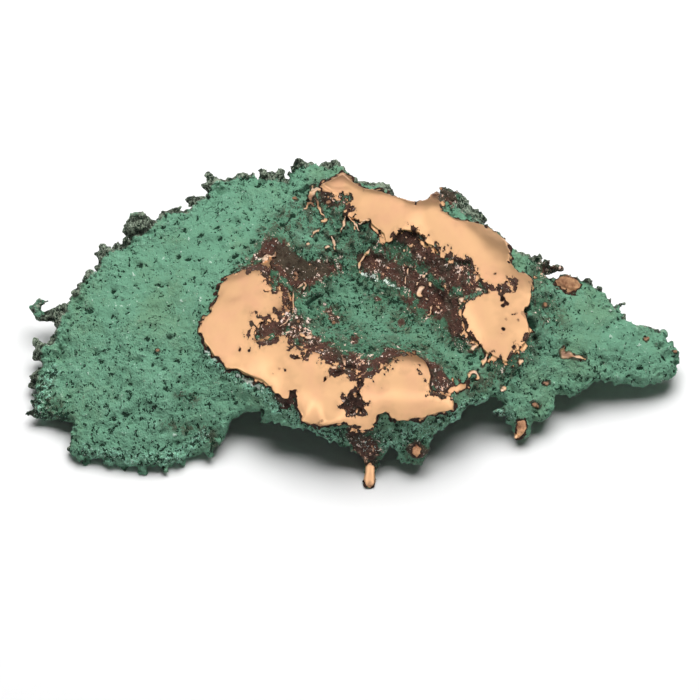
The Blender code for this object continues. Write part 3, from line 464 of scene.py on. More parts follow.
# Where the edge of the plates breaks up into flakes, as chains of (across, up, radius).
FRAYED = {
    "inner edge of the left plate": [
        (-30, -4.5, 2.4), (-25, -3.5, 2.8), (-20, -3, 3), (-17, -8, 3.2), (-12, -10, 3.2),
        (-6.5, -12.5, 3.2), (-2, -15, 3),
    ],
    "inner edge of the front plate": [(0, -17, 2), (6, -17, 2), (11, -14, 2)],
    "star": [(0.9, -24.6, 4.9)],
    "tip of the left plate": [(-25, 17.5, 2), (-24, 9, 2.4)],
    "back plate over the dent": [(14, 26, 2), (24, 22, 2), (33, 18, 2.2), (38, 12, 2)],
    "back plate by the splash": [(-1, 33, 2), (-2.5, 36, 1.6)],
    "pits of the right plate": [(40.5, 9.5, 0.9), (44, 8.6, 1), (47.5, 10.5, 1.7)],
}

# The hollow inside the ring, where the patina is painted darker: painted shade.
DENT = {
    "dent": [
        (-19, 2), (-17, 12), (-8, 18), (4, 21), (14, 15), (24, 3), (34, -4), (41, -11), (36, -19),
        (28, -17), (20, -11), (10, -13), (0, -12), (-10, -5),
    ],
}

# Along the front, painted shade and painted highlights: the patina gets more dark pits and more contrast,
# with pale shiny lumps and glints, as chains of (across, up, radius).
SHADED = {
    "front of the ring": [
        (-44, -9.6, 1.5), (-39, -14.4, 2), (-32, -17.4, 2.4), (-27, -20.4, 2.6), (-23, -25, 2.6),
        (-18.6, -28.5, 2.4), (-12.6, -33, 2.2), (-5, -34.5, 2.2), (2.4, -36, 3), (8.4, -37, 3.4),
        (14.4, -35, 3.4), (22, -33, 3.4), (29.4, -30, 3), (35, -26, 2.4), (41, -25, 2.4), (47, -29, 2),
    ],
    "front of the lobe": [(-80, -39, 2), (-66, -42, 2), (-52, -41, 2), (-44, -34, 1.6)],
    "corner of the lobe": [(-90, -15, 2.4), (-94, -26, 3), (-86, -32, 3)],
}

# Where maroon oxide covers the patina whole, as chains of (across, up, radius).
STAINED = {
    "wedge left of the dent": [(-24.5, 22, 2.6), (-21, 18.5, 3.6), (-16, 14.5, 4), (-8, 16, 2)],
    "band behind the dent": [
        (3, 18.5, 1.6), (10, 16, 2), (18, 12, 2.4), (24, 7.5, 2.6), (29, 3.5, 2.6), (32, -2, 2),
    ],
    "edge of the back plate": [(14, 25.5, 1.4), (20, 23, 1.6), (26, 16, 2), (32, 12.5, 2.6)],
    "inner edge of the front plate": [(-10, -8.5, 1.4), (-3, -12, 1.6), (2, -14, 1.8)],
    "hump of the front plate": [(8, -12.5, 1.2), (13, -9.5, 1.4)],
    "right end of the front plate": [(24, -14, 1.6), (27, -19, 2)],
    "inner corner of the left plate": [(-26, -2, 2), (-22, -1, 2.2)],
    "front notch": [(-22, -22, 1.5), (-19, -24.5, 1.8)],
    "neck of the long drip": [(0.5, -33.5, 2), (2, -38, 2), (4, -42.5, 1.2)],
    "blunt knob": [(19.4, -38.8, 3)],
    "knob on the crest": [(27, 37.5, 1.6), (30, 36, 1.6)],
    "high spot in the dent": [(7.8, 6.4, 0.9)],
    "right spot in the dent": [(14.9, -0.3, 1)],
    "low spot in the dent": [(1.1, -5.8, 1.1)],
    "left spot in the dent": [(-6.4, 0.6, 1), (-4.6, 0.2, 0.8)],
    "spot at the left of the dent": [(-15.7, -0.3, 1)],
}

# Where bare copper keeps to its drawn edge, as chains of (across, up, radius).
FIRM = {
    "long drip": [(5.2, -44, 1.8), (5.2, -49, 2)],
    "blunt knob": [(19.4, -38.8, 2.8)],
    "right drip": [(51, -30.5, 1.8), (49.5, -35, 1.6)],
    "tip of the back plate": [(-8.6, 39.8, 1.8), (-2.7, 41.5, 2.6), (1.5, 39, 1.6)],
    "right end of the front plate": [(20, -11, 1.5), (23, -14.5, 2.6), (25.5, -18.5, 3), (29, -20, 2)],
}

# Where the patina is darkened and blotched with the dark oxide colour, as chains of (across, up, radius):
# oxide stain, and on the slope behind the ring painted shade as well.
MURKY = {
    "slope behind the ring": [
        (-26, 26, 3), (-18, 31, 4), (-11, 31, 4.6), (-4, 27.5, 4.6), (4, 24, 4.4), (11, 20, 3),
    ],
    "left side of the slope": [(-22, 22, 2.6), (-14, 20, 3), (-6, 19.4, 2.6), (2, 18.6, 2)],
    "right of the ring": [(48, -15, 2.6), (42, -17, 2.6), (36, -21, 2.4)],
    "front of the dent": [(-14, -5, 2), (-4, -7.5, 2.4), (10, -9.5, 2.4), (21, -8.5, 2.4)],
    "floor of the dent": [(-17.5, 2, 1.6), (-14, 0, 2), (-9, 0.6, 1.6)],
    "left corner of the lobe": [(-91, -17, 2), (-93, -23, 3), (-88, -28, 3)],
    "right corner of the lobe": [(-56, -31, 1.2), (-49, -33, 2), (-43, -33, 2.4), (-41, -38, 2)],
    "stain on the lobe": [(-52, -22, 1.4), (-47, -23.6, 1.6)],
}

# Where the crust is smoother, with fewer pits, as chains of (across, up, radius).
SMOOTH = {
    "top of the lobe": [(-72, 4, 7), (-60, 12, 9), (-46, 22, 9), (-34, 27, 8)],
    "beside the left plate": [(-50, 0, 5), (-48, 8, 6)],
    "middle of the tail": [(58, 0, 5), (68, -2, 8), (80, -5, 7), (90, -8, 5)],
}

# Where painted glints crowd, painted highlights, as chains of (across, up, radius).
SPARKLES = {
    "back of the dent": [(3, 14.2, 0.7), (7, 12.8, 1), (11, 11.2, 0.9), (14, 9.4, 0.5)],
    "left of the ring": [(-43.4, -9.4, 0.9), (-41, -11.6, 0.7)],
    "left front of the ring": [(-34.5, -16.4, 0.8), (-31, -18.4, 0.9), (-26.5, -20.8, 1)],
}

# Bare copper that has dulled to brown, as chains of (across, up, radius).
DULL = {
    "plate on the tail": [(62, 13.4, 2.4), (68.6, 10, 2.4)],
    "knob on the crest": [(26, 38, 2.4), (30, 38, 2)],
    "right drip": [(50.9, -32, 2.2)],
    "nail": [(63.5, -10, 1.2), (66, -11, 0.8)],
    "long drip": [(5.1, -49.6, 1.3)],
    "blunt knob": [(19.4, -38.8, 3)],
    "tip of the tail": [(96.9, -9.6, 2)],
    "spots of the tail": [(58, 4.5, 1.6), (88.3, -5.8, 1.6), (58.2, -18.8, 2), (55, -25.5, 2.4)],
    "spot of the lobe": [(-58.2, -9, 1.6)],
    "grains in the dent": [(-15.9, -0.3, 1.6), (-5.6, -0.8, 1.6), (-3, -10.7, 2)],
    "grains by the splash": [(-17.1, 36.6, 1.6), (-7, 35.7, 2)],
    "wedge left of the dent": [(-20.5, 19.5, 3), (-15.5, 15, 3.4), (-9, 16, 2)],
}

# Deep cracks and pits, sunk into the skin and painted near black as shade, as chains of (across, up,
# radius).
CRACKS = {
    "crack in the dent": [(-13.3, 5.2, 0.5), (-11.5, 6.6, 0.65), (-9.6, 7.6, 0.5)],
    "pit in the dent": [(-12.2, 4.3, 0.9)],
    "slot behind the splash": [(-15.5, 39.2, 0.8), (-13.8, 40.2, 0.9)],
    "pit right of the ring": [(53.5, 0.2, 1), (54.6, -1.8, 1.1)],
    "low pit right of the ring": [(54.9, -5.4, 0.8)],
    "high pit right of the ring": [(52.2, 3, 0.7)],
    "pit of the lobe": [(-54.6, -5.1, 0.7)],
}


def length_property(name, description, size):
    """A length whose default is given in mm."""
    return bpy.props.FloatProperty(
        name=name, description=description, default=size * MM, unit="LENGTH"
    )


def angle_property(name, description, degrees):
    """An angle whose default is given in degrees."""
    return bpy.props.FloatProperty(
        name=name, description=description, default=math.radians(degrees), subtype="ANGLE"
    )


def power_property(name, description, watts):
    """The power of a lamp."""
    return bpy.props.FloatProperty(name=name, description=description, default=watts, unit="POWER")


def colour_property(name, description, colour):
    """A colour whose default is given as linear red, green, blue and alpha."""
    return bpy.props.FloatVectorProperty(
        name=name, description=description, default=colour, size=4, subtype="COLOR"
    )


def paint(red, green, blue):
    """A colour on the 0 to 255 display scale as Blender's linear one.

    Each share of 255 has 0.055 added, is divided by 1.055 and is raised to the power 2.4.
    """
    return tuple(((value / 255 + 0.055) / 1.055) ** 2.4 for value in (red, green, blue)) + (1.0,)


class NuggetSizes(bpy.types.PropertyGroup):
    """Sizes of the nugget and of what covers it."""

    sight_tilt: angle_property("Sight tilt", "How steeply the drawing's line of sight falls", 55)
    sheet: length_property("Sheet", "Thickness of the copper sheet", 4.2)
    centre: bpy.props.FloatVectorProperty(
        name="Centre",
        description="Plan offset that puts the origin at the middle of the nugget's box",
        default=(-0.19 * MM, 5.47 * MM),
        size=2,
        unit="LENGTH",
    )
    skin_voxel: length_property("Skin", "Width of the quads in the skin", 0.58)
    plate_rise: length_property(
        "Plate rise", "How far the smooth plates stand proud of the rough sheet", 0.8
    )
    plate_ledge: length_property("Plate ledge", "Width of the step at the plates' edge", 0.8)
    grit: length_property("Grit", "Height of the patina's fine lumps", 0.46)
    wart: length_property("Warts", "Height of the knobbly lumps along the edge", 0.9)
    pit_depth: length_property("Pit depth", "Depth of the patina's pits", 0.8)
    edge_knobs: bpy.props.IntProperty(
        name="Edge knobs", description="How many small knobs crowd the ragged edge", default=250
    )
    knob_length: length_property(
        "Knob length", "How far the longest of the small knobs reaches", 2.0
    )


class NuggetColours(bpy.types.PropertyGroup):
    """Colours of the nugget's finishes."""

    copper: colour_property("Bare copper", "The smooth plates and the drops", paint(240, 190, 142))
    copper_rosy: colour_property(
        "Rosy copper", "Faint tarnish that drifts over the plates", paint(236, 180, 140)
    )
    copper_dull: colour_property("Dull copper", "Bare copper that has browned", paint(128, 88, 66))
    drops: colour_property("Drops", "The palest of the drops and wires", paint(240, 204, 176))
    crumbs: colour_property(
        "Crumbs", "The palest of the copper's crumbs in the oxide", paint(240, 216, 204)
    )
    # Ledge is also the painted shade in a ring round each drop.
    ledge: colour_property("Ledge", "The dark rim along the plates", paint(44, 29, 22))
    oxide_maroon: colour_property("Maroon oxide", "Cuprite round the dent", paint(83, 55, 46))
    oxide_dark: colour_property(
        "Dark oxide", "The darkest, olive part of the oxide", paint(68, 59, 47)
    )
    patina: colour_property("Patina", "The green crust", paint(106, 154, 127))
    patina_olive: colour_property(
        "Olive patina", "Where the crust is stained", paint(106, 140, 108)
    )
    # Light patina is also painted light on the crust's raised lumps.
    patina_light: colour_property(
        "Light patina", "Where the crust is powdery", paint(131, 180, 154)
    )
    # Dark patina is also painted shade in the dent and in the low places between the crust's lumps.
    patina_dark: colour_property("Dark patina", "Where the crust is thin", paint(66, 108, 82))
    # Pits: painted shade at the bottom of the pits, cracks and dark specks.
    pit: colour_property("Pits", "Bottom of the pits", paint(10, 38, 24))
    # Painted highlights: pale shiny lumps on the patina along the front.
    painted_sheen: colour_property("Wet patina", "Shiny green lumps along the front", paint(144, 206, 178))
    # Rind's light grey is partly painted light on the raised lumps of the knobs.
    rind: colour_property(
        "Rind", "The grey brown rind on the knobs of the edge", paint(144, 156, 136)
    )
    rind_dark: colour_property("Dark rind", "The darkest of the rind", paint(34, 32, 27))
    # Glints are painted highlights on the crust's crystals. The same colour also gives the crust's pale
    # grains.
    glint: colour_property("Glints", "Pale grains in the crust", paint(222, 236, 226))


class StageSettings(bpy.types.PropertyGroup):
    """The floor, the lamps and the camera."""

    floor: colour_property("Floor", "Colour of the floor", (0.86, 0.86, 0.86, 1.0))
    sky: bpy.props.FloatProperty(
        name="Sky", description="Brightness of the soft light from all round", default=0.004
    )
    key: power_property("Key", "Power of the panel overhead, which casts the shadow", 30.6)
    fill: power_property("Fill", "Power of the low panel in front", 3.0)
    tent: power_property("Tent", "Power of the wide white sheet that the copper mirrors", 150.0)
    front: power_property(
        "Front sheet", "Power of the white sheet in front that the copper mirrors", 24.0
    )
    sides: power_property(
        "Side sheets",
        "Power of each of the white sheets at the sides that the copper mirrors",
        34.0,
    )
    lens: bpy.props.FloatProperty(
        name="Lens", description="Focal length of the camera", default=800.0, unit="CAMERA"
    )
    view_width: length_property("View width", "Width of what the camera takes in", 210)
    elevation: angle_property("Elevation", "How steeply the camera looks down", 55)


def bend(dx, dy):
    """The thin plate's own curve, r squared times log r, of the distance between two points."""
    squared = dx * dx + dy * dy
    return 0.5 * squared * np.log(squared + 1e-12)


def smooth_sheet(points):
    """Weights of the thin plate that bends as little as it can through all the height posts.

    They are solved so that every post's weighted bend, with a plane, gives each post its height.
    """
    x, y, z = points.T
    count = len(points)
    flat = np.column_stack([np.ones(count), x, y])
    system = np.zeros((count + 3, count + 3))
    system[:count, :count] = bend(x[:, None] - x, y[:, None] - y)
    system[:count, count:] = flat
    system[count:, :count] = flat.T
    return np.linalg.solve(system, np.append(z, [0, 0, 0]))


def ease(share):
    """Smooth step: 3 s squared less 2 s cubed, for s from 0 to 1."""
    share = np.clip(share, 0, 1)
    return share * share * (3 - 2 * share)


def lumps(points, spacing, seed):
    """Smooth random field from -1 to 1: lattice values eased between the corners of each cell."""
    table = np.random.default_rng(seed).uniform(-1, 1, (LATTICE, LATTICE, LATTICE))
    turned = points @ TURN.T / spacing
    cell = np.floor(turned).astype(int)
    share = ease(turned - cell)
    total = np.zeros(len(points))
    for corner in itertools.product((0, 1), repeat=3):
        weight = np.where(corner, share, 1 - share).prod(axis=1)
        i, j, k = ((cell + corner) % LATTICE).T
        total += weight * table[i, j, k]
    return total


def bubbles(points, spacing, seed):
    """Round bumps from 0 to 1, one in each lattice cell: eased share of a random radius left."""
    chance = np.random.default_rng(seed)
    places = chance.uniform(0, 1, (LATTICE, LATTICE, LATTICE, 3))
    sizes = chance.uniform(0, 1, (LATTICE, LATTICE, LATTICE)) ** 2
    turned = points @ TURN.T / spacing
    cell = np.floor(turned).astype(int)
    highest = np.zeros(len(points))
    for offset in itertools.product((-1, 0, 1), repeat=3):
        near = cell + offset
        i, j, k = (near % LATTICE).T
        gap = np.linalg.norm(turned - near - places[i, j, k], axis=1)
        size = sizes[i, j, k]
        bump = (0.3 + 0.7 * size) * ease(1.15 * (1 - gap / (0.2 + 0.4 * size)))
        highest = np.maximum(highest, bump)
    return highest


def broad_lumps(x, y, side):
    """Broad lumps of the sheet's two faces, the sum of three sizes. side is 1 on top, -1 below."""
    places = np.column_stack([x, y, 0.01 * side])
    return sum(
        rise * lumps(places, spacing, SEED + index) for index, (spacing, rise) in enumerate(LUMPS)
    )


class Sheet:
    """The warped middle of the sheet, and the way from the drawing to it and back."""

    def __init__(self, sizes):
        self.sine = math.sin(sizes.sight_tilt)
        self.cosine = math.cos(sizes.sight_tilt)
        self.centre = tuple(sizes.centre)
        posts = np.array(HEIGHTS) * MM
        self.posts = np.column_stack(
            [posts[:, 0] + self.centre[0], self.plan_y(posts[:, 1], posts[:, 2]), posts[:, 2]]
        )
        self.weights = smooth_sheet(self.posts)

    def plan_y(self, up, z):
        """Plan y of a drawn point: its up, less height times cosine, over the sine of the tilt."""
        return (up - z * self.cosine) / self.sine + self.centre[1]

    def height(self, x, y):
        """Height of the sheet: the posts' weighted bends, and a plane."""
        bends = bend(x[:, None] - self.posts[:, 0], y[:, None] - self.posts[:, 1])
        weights = self.weights
        return bends @ weights[:-3] + weights[-3] + weights[-2] * x + weights[-1] * y

    def on_plan(self, drawn):
        """Slides drawn points in mm along the line of sight, half of the way at each step."""
        x, up = np.array(drawn, float).T * MM
        x = x + self.centre[0]
        y = self.plan_y(up, START_HEIGHT)
        for _ in range(SLIDES):
            y = 0.5 * (y + self.plan_y(up, self.height(x, y)))
        return x, y

    def place_of(self, drawn):
        """Plan x, plan y and the sheet's height at one drawn point."""
        x, y = self.on_plan([drawn])
        return x[0], y[0], self.height(x, y)[0]

    def outline(self, count):
        """The sheet's edge on the plan, as a closed curve with count points for each drawn one."""
        return closed_curve(np.column_stack(self.on_plan(OUTLINE)), count)

    def drawn(self, points):
        """Where points appear in the drawing, in mm: up is y times sine and z times cosine."""
        up = (points[:, 1] - self.centre[1]) * self.sine + points[:, 2] * self.cosine
        return np.column_stack([points[:, 0] - self.centre[0], up]) / MM

    def toward(self, points):
        """How far points are towards the eye: z times the sine less y times the cosine."""
        return points[:, 2] * self.sine - (points[:, 1] - self.centre[1]) * self.cosine

    def seen_at(self, drawn, toward):
        """Points from their place in the drawing, in mm, and how far they are towards the eye."""
        across, up = drawn.T * MM
        y = up * self.sine - toward * self.cosine + self.centre[1]
        return np.column_stack([across + self.centre[0], y, up * self.cosine + toward * self.sine])

    def normal(self, x, y):
        """Unit normals of the sheet, from the slopes of its height over a tenth of a mm."""
        step = 0.1 * MM
        middle = self.height(x, y)
        slope_x = (self.height(x + step, y) - middle) / step
        slope_y = (self.height(x, y + step) - middle) / step
        normal = np.column_stack([-slope_x, -slope_y, np.ones(len(x))])
        return normal / np.linalg.norm(normal, axis=1)[:, None]


def closed_curve(ring, count):
    """Catmull-Rom curve through a closed ring of points, as count points from each to the next."""
    before, after, beyond = (np.roll(ring, shift, axis=0) for shift in (1, -1, -2))
    steps = np.arange(count)[None, :, None] / count
    a, b, c, d = (points[:, None, :] for points in (before, ring, after, beyond))
    curve = b + 0.5 * steps * (
        c - a + steps * (2 * a - 5 * b + 4 * c - d + steps * (3 * (b - c) + d - a))
    )
    return curve.reshape(-1, 2)


def in_chunks(measure, points, mark):
    """Applies a measure to the points in blocks, so that its tables stay small."""
    blocks = range(0, len(points), CHUNK)
    return np.concatenate([measure(points[at:at + CHUNK], mark) for at in blocks])


def depth_near(points, low, high, measure, mark):
    """Measures the points within REACH of a mark's box. The others are taken to be REACH away."""
    depth = np.full(len(points), -REACH)
    near = ((points > low - REACH) & (points < high + REACH)).all(axis=1)
    if near.any():
        depth[near] = in_chunks(measure, points[near], mark)
    return depth


def ring_depth(points, ring):
    """Distance of each point from the nearest side of a closed ring, above zero inside it.

    A point is inside where a level line from it crosses an odd number of sides.
    """
    step = np.roll(ring, -1, axis=0) - ring
    away_x = points[:, :1] - ring[:, 0]
    away_y = points[:, 1:] - ring[:, 1]
    share = (away_x * step[:, 0] + away_y * step[:, 1]) / (step ** 2).sum(axis=1)
    share = np.clip(share, 0, 1)
    gap = np.hypot(away_x - share * step[:, 0], away_y - share * step[:, 1]).min(axis=1)
    level = (away_y >= 0) != (away_y >= step[:, 1])
    rise = np.where(step[:, 1] == 0, 1, step[:, 1])
    crossed = level & (away_x < away_y * step[:, 0] / rise)
    return np.where(crossed.sum(axis=1) % 2 == 1, gap, -gap)


def rings_depth(points, rings):
    """Depth inside whichever of several rings is deepest, at least less REACH."""
    depth = np.full(len(points), -REACH)
    for ring in rings:
        ring = np.array(ring, float)
        found = depth_near(points, ring.min(axis=0), ring.max(axis=0), ring_depth, ring)
        depth = np.maximum(depth, found)
    return depth


def links_depth(points, links):
    """Depth inside tapering round-ended links: the radius there less the distance to the line."""
    start_x, start_y, start_r, end_x, end_y, end_r = links.T
    step_x = end_x - start_x
    step_y = end_y - start_y
    length = np.maximum(step_x ** 2 + step_y ** 2, 1e-9)
    away_x = points[:, :1] - start_x
    away_y = points[:, 1:] - start_y
    share = np.clip((away_x * step_x + away_y * step_y) / length, 0, 1)
    gap = np.hypot(away_x - share * step_x, away_y - share * step_y)
    return (start_r + share * (end_r - start_r) - gap).max(axis=1)


def chains_depth(points, chains):
    """Depth inside whichever of several chains is deepest, at least less REACH."""
    depth = np.full(len(points), -REACH)
    for chain in chains:
        beads = np.array(chain, float)
        ends = (beads[:-1], beads[1:]) if len(beads) > 1 else (beads, beads)
        low, high = beads[:, :2].min(axis=0), beads[:, :2].max(axis=0)
        depth = np.maximum(depth, depth_near(points, low, high, links_depth, np.hstack(ends)))
    return depth


def cover(drawn, chains, width, start=0.5):
    """Share from 0 to 1 that named chains cover: start at their edge, eased over a width in mm."""
    return ease(chains_depth(drawn, chains.values()) / width + start)


def new_mesh(name, points, corners, counts):
    """A mesh of whole arrays: points as rows, then every face's corners and how many it has."""
    mesh = bpy.data.meshes.new(name)
    mesh.vertices.add(len(points))
    mesh.vertices.foreach_set("co", np.asarray(points, np.float32).ravel())
    mesh.loops.add(len(corners))
    mesh.loops.foreach_set("vertex_index", np.asarray(corners, np.int32))
    mesh.polygons.add(len(counts))
    mesh.polygons.foreach_set("loop_start", (np.cumsum(counts) - counts).astype(np.int32))
    mesh.update(calc_edges=True)
    mesh.validate()
    return mesh


def new_object(name, data):
    """An object at the origin that holds a mesh, a lamp or a camera."""
    obj = bpy.data.objects.new(name, data)
    bpy.context.scene.collection.objects.link(obj)
    return obj


def skinned(mesh, voxel, smoothing):
    """Covers everything in the mesh with one closed skin of even quads, then smooths it."""
    obj = new_object("skin", mesh)
    skin = obj.modifiers.new("skin", "REMESH")
    skin.mode = "VOXEL"
    skin.voxel_size = voxel
    if smoothing:
        soften = obj.modifiers.new("soften", "SMOOTH")
        soften.factor = 0.5
        soften.iterations = smoothing
    graph = bpy.context.evaluated_depsgraph_get()
    result = bpy.data.meshes.new_from_object(obj.evaluated_get(graph))
    bpy.data.objects.remove(obj)
    bpy.data.meshes.remove(mesh)
    return result


def read_points(mesh, what="co"):
    """The mesh's vertices, or their normals, as rows."""
    values = np.empty(len(mesh.vertices) * 3, np.float32)
    mesh.vertices.foreach_get(what, values)
    return values.reshape(-1, 3).astype(float)


def write_points(mesh, points):
    """Puts the mesh's vertices where the rows say."""
    mesh.vertices.foreach_set("co", points.astype(np.float32).ravel())
    mesh.update()


def write_field(mesh, name, values):
    """Keeps one number for each vertex as an attribute that a material can read."""
    field = mesh.attributes.new(name, "FLOAT", "POINT")
    field.data.foreach_set("value", np.asarray(values, np.float32))


def in_box(points):
    """Points held inside the solid's own box."""
    low, high = np.array(SOLID_BOX)
    return np.clip(points, low, high)


def flat_slab(sheet, sizes):
    """The outline on the plan as a closed ring, carried from the sheet's bottom to its top."""
    ring = sheet.outline(SLAB_POINTS)
    count = len(ring)
    low = np.column_stack([ring, np.full(count, -sizes.sheet / 2)])
    high = low + (0, 0, sizes.sheet)
    here = np.arange(count)
    there = np.roll(here, -1)
    walls = np.column_stack([here, here + count, there + count, there])
    corners = np.concatenate([here, here[::-1] + count, walls.ravel()])
    counts = np.array([count, count] + [4] * count)
    return new_mesh("slab", np.vstack([low, high]), corners, counts)


def balls(centres, radii, sides=10, rings=7):
    """Round beads: sine and cosine of latitude and longitude on a grid, times each radius."""
    latitude = np.linspace(0, math.pi, rings + 1)[1:-1, None]
    longitude = np.linspace(0, 2 * math.pi, sides, endpoint=False)[None, :]
    middle = np.stack(
        [
            np.sin(latitude) * np.cos(longitude),
            np.sin(latitude) * np.sin(longitude),
            np.cos(latitude) * np.ones_like(longitude),
        ],
        axis=-1,
    ).reshape(-1, 3)
    ball = np.vstack([(0, 0, 1), middle, (0, 0, -1)])
    row = np.arange((rings - 2) * sides).reshape(-1, sides) + 1
    beside = np.roll(row, -1, axis=1)
    quads = np.stack([row, row + sides, beside + sides, beside], axis=-1).reshape(-1, 4)
    last = len(ball) - 1
    first_row = np.arange(sides) + 1
    last_row = first_row + (rings - 2) * sides
    top = np.column_stack([np.zeros(sides, int), first_row, np.roll(first_row, -1)])
    low = np.column_stack([np.full(sides, last), np.roll(last_row, -1), last_row])
    shift = np.arange(len(centres)) * len(ball)
    points = (centres[:, None, :] + radii[:, None, None] * ball).reshape(-1, 3)
    corners = [(part[None] + shift[:, None, None]).ravel() for part in (quads, top, low)]
    counts = np.repeat([4, 3, 3], [len(part) * len(centres) for part in (quads, top, low)])
    return points, np.concatenate(corners), counts


def spaced(points, radii):
    """Beads along a path, so close that they fuse, with radii that change evenly along it."""
    centres = []
    sizes = []
    for start, end, thick, thin in zip(points, points[1:], radii, radii[1:]):
        gap = np.linalg.norm(end - start) / (BEAD_GAP * min(thick, thin))
        share = np.linspace(0, 1, max(2, math.ceil(gap)))
        centres.append(start + share[:, None] * (end - start))
        sizes.append(thick + share * (thin - thick))
    return np.vstack(centres), np.concatenate(sizes)


def spur_beads(sheet):
    """Beads of every knob, thorn and drip. Each starts on the sheet's middle at its root."""
    beads = []
    for chain in SPURS.values():
        across, up, rise, radius = np.array(chain, float).T * MM
        z = sheet.place_of(chain[0][:2])[2] + rise
        points = np.column_stack([across + sheet.centre[0], sheet.plan_y(up, z), z])
        beads.append(spaced(points, radius))
    return beads


def leg_beads(sheet):
    """Beads of the stubby legs, which hang from the sheet like drips down to the table."""
    beads = []
    for place, lean in LEGS.values():
        x, y, height = sheet.place_of(place)
        root = np.array([x, y, height - LEG_ROOT])
        foot = np.array([x + lean[0] * MM, y + lean[1] * MM, LEG_FOOT - FOOT_SINK])
        waist = root + 0.6 * (foot - root)
        beads.append(spaced(np.array([root, waist, foot]), [LEG_ROOT, LEG_WAIST, LEG_FOOT]))
    return beads


def edge_beads(sheet, sizes):
    """Ragged knobs: short chains of beads that wander outwards from places on the outline."""
    chance = np.random.default_rng(SEED + 20)
    ring = sheet.outline(EDGE_POINTS)
    along = np.roll(ring, -1, axis=0) - np.roll(ring, 1, axis=0)
    out = np.column_stack([along[:, 1], -along[:, 0]]) / np.linalg.norm(along, axis=1)[:, None]
    out *= np.sign((ring * out).sum())
    count = sizes.edge_knobs
    crowd = knob_crowd(closed_curve(np.array(OUTLINE, float), EDGE_POINTS), out)
    at = chance.choice(len(ring), count, p=crowd / crowd.sum())
    heading = out[at] + chance.normal(0, 0.6, (count, 2))
    share = np.linspace(0, 1, KNOB_BEADS)[None, :, None]
    length = chance.uniform(0.1, 1, count) ** 1.6 * sizes.knob_length
    wander = chance.normal(0, 0.3 * MM, (count, KNOB_BEADS, 3)) * share
    plan = ring[at][:, None, :] + heading[:, None, :] * length[:, None, None] * share
    level = sheet.height(ring[at, 0], ring[at, 1]) + chance.uniform(-0.5, 0.4, count) * sizes.sheet
    climb = chance.uniform(-0.5, 0.9, count)
    rise = level[:, None, None] + climb[:, None, None] * length[:, None, None] * share
    chains = np.concatenate([plan, rise], axis=2) + wander
    thick = chance.uniform(0.6, 1.2, count) * MM
    thin = thick * chance.uniform(0.6, 1.2, count)
    radii = thick[:, None] + (thin - thick)[:, None] * share[:, :, 0]
    return [spaced(*chain) for chain in zip(chains, radii)]


def knob_crowd(ring, out):
    """How thickly knobs crowd the edge: most at the back, fewer on the lobe, none by the plates."""
    back = out @ (-0.5, 0.85) > -0.1
    lobe = ring[:, 0] < -42
    tail = ring[:, 0] > 50
    tip = ring[:, 0] > 92
    crowd = np.where(back | tip, 1.0, np.where(lobe, 0.6, 0.0)) * np.where(tail, 0.5, 1)
    return crowd * (rings_depth(ring, PLATES.values()) < -PLATE_CLEAR)


def joined(meshes):
    """One mesh from several, each as points, corners and counts."""
    points, corners, counts = zip(*meshes)
    shifts = np.cumsum([0] + [len(some) for some in points[:-1]])
    corners = [some + shift for some, shift in zip(corners, shifts)]
    return np.vstack(points), np.concatenate(corners), np.concatenate(counts)


def mesh_arrays(mesh):
    """A mesh's points, the corners of its faces and how many each has."""
    corners = np.empty(len(mesh.loops), np.int32)
    mesh.loops.foreach_get("vertex_index", corners)
    counts = np.empty(len(mesh.polygons), np.int32)
    mesh.polygons.foreach_get("loop_total", counts)
    return read_points(mesh), corners.astype(np.int64), counts.astype(np.int64)


def bent_slab(sheet, sizes):
    """The flat slab laid on the warped sheet: each point goes along the sheet's normal."""
    mesh = skinned(flat_slab(sheet, sizes), SLAB_VOXEL, 0)
    x, y, across = read_points(mesh).T
    face = across / (sizes.sheet / 2)
    middle = np.column_stack([x, y, sheet.height(x, y)])
    plates = ease(rings_depth(sheet.drawn(middle), PLATES.values()) / 0.8 + 0.5)
    calm = 1 - 0.75 * plates * (face > 0)
    out = across + broad_lumps(x, y, np.sign(across)) * calm * np.abs(face)
    write_points(mesh, middle + sheet.normal(x, y) * out[:, None])
    return mesh


def copper_depth(drawn):
    """Depth in mm inside the plates and patches less their gaps, and inside the strands."""
    plates = rings_depth(drawn, [*PLATES.values(), *ISLANDS.values()])
    gaps = rings_depth(drawn, HOLES.values())
    gaps = np.where(gaps > 0, 2.5 * gaps, gaps)
    spots = chains_depth(drawn, [[spot] for some in SPOTS.values() for spot in some])
    strands = chains_depth(drawn, STRANDS.values())
    return np.minimum(plates, 0.3 - np.maximum(gaps, spots)), strands


def refined(points, quads, wanted):
    """Splits the wanted quads in four at the middles of their sides and at their own middles.

    A neighbour gains the shared middles as corners, so that no gap opens.
    """
    sides = np.sort(np.stack([quads, np.roll(quads, -1, axis=1)], axis=-1), axis=-1)
    keys = sides[..., 0] * len(points) + sides[..., 1]
    unique, where = np.unique(keys, return_inverse=True)
    where = where.reshape(quads.shape)
    split = np.zeros(len(unique), bool)
    split[where[wanted]] = True
    middle = np.cumsum(split) - 1 + len(points)
    pairs = np.column_stack([unique // len(points), unique % len(points)])[split]
    inner = quads[wanted]
    centre = np.arange(len(inner)) + len(points) + len(pairs)
    halves = middle[where]
    own = halves[wanted]
    fine = np.stack(
        [inner, own, np.repeat(centre[:, None], 4, axis=1), np.roll(own, 1, axis=1)], axis=-1
    )
    outer = np.where(split[where[~wanted]], halves[~wanted], -1)
    mixed = np.stack([quads[~wanted], outer], axis=-1).reshape(-1, 8)
    corners = np.concatenate([fine.ravel(), mixed[mixed >= 0]])
    counts = np.concatenate([np.full(4 * len(inner), 4), (mixed >= 0).sum(axis=1)])
    points = np.vstack([points, points[pairs].mean(axis=1), points[inner].mean(axis=1)])
    return points, corners, counts


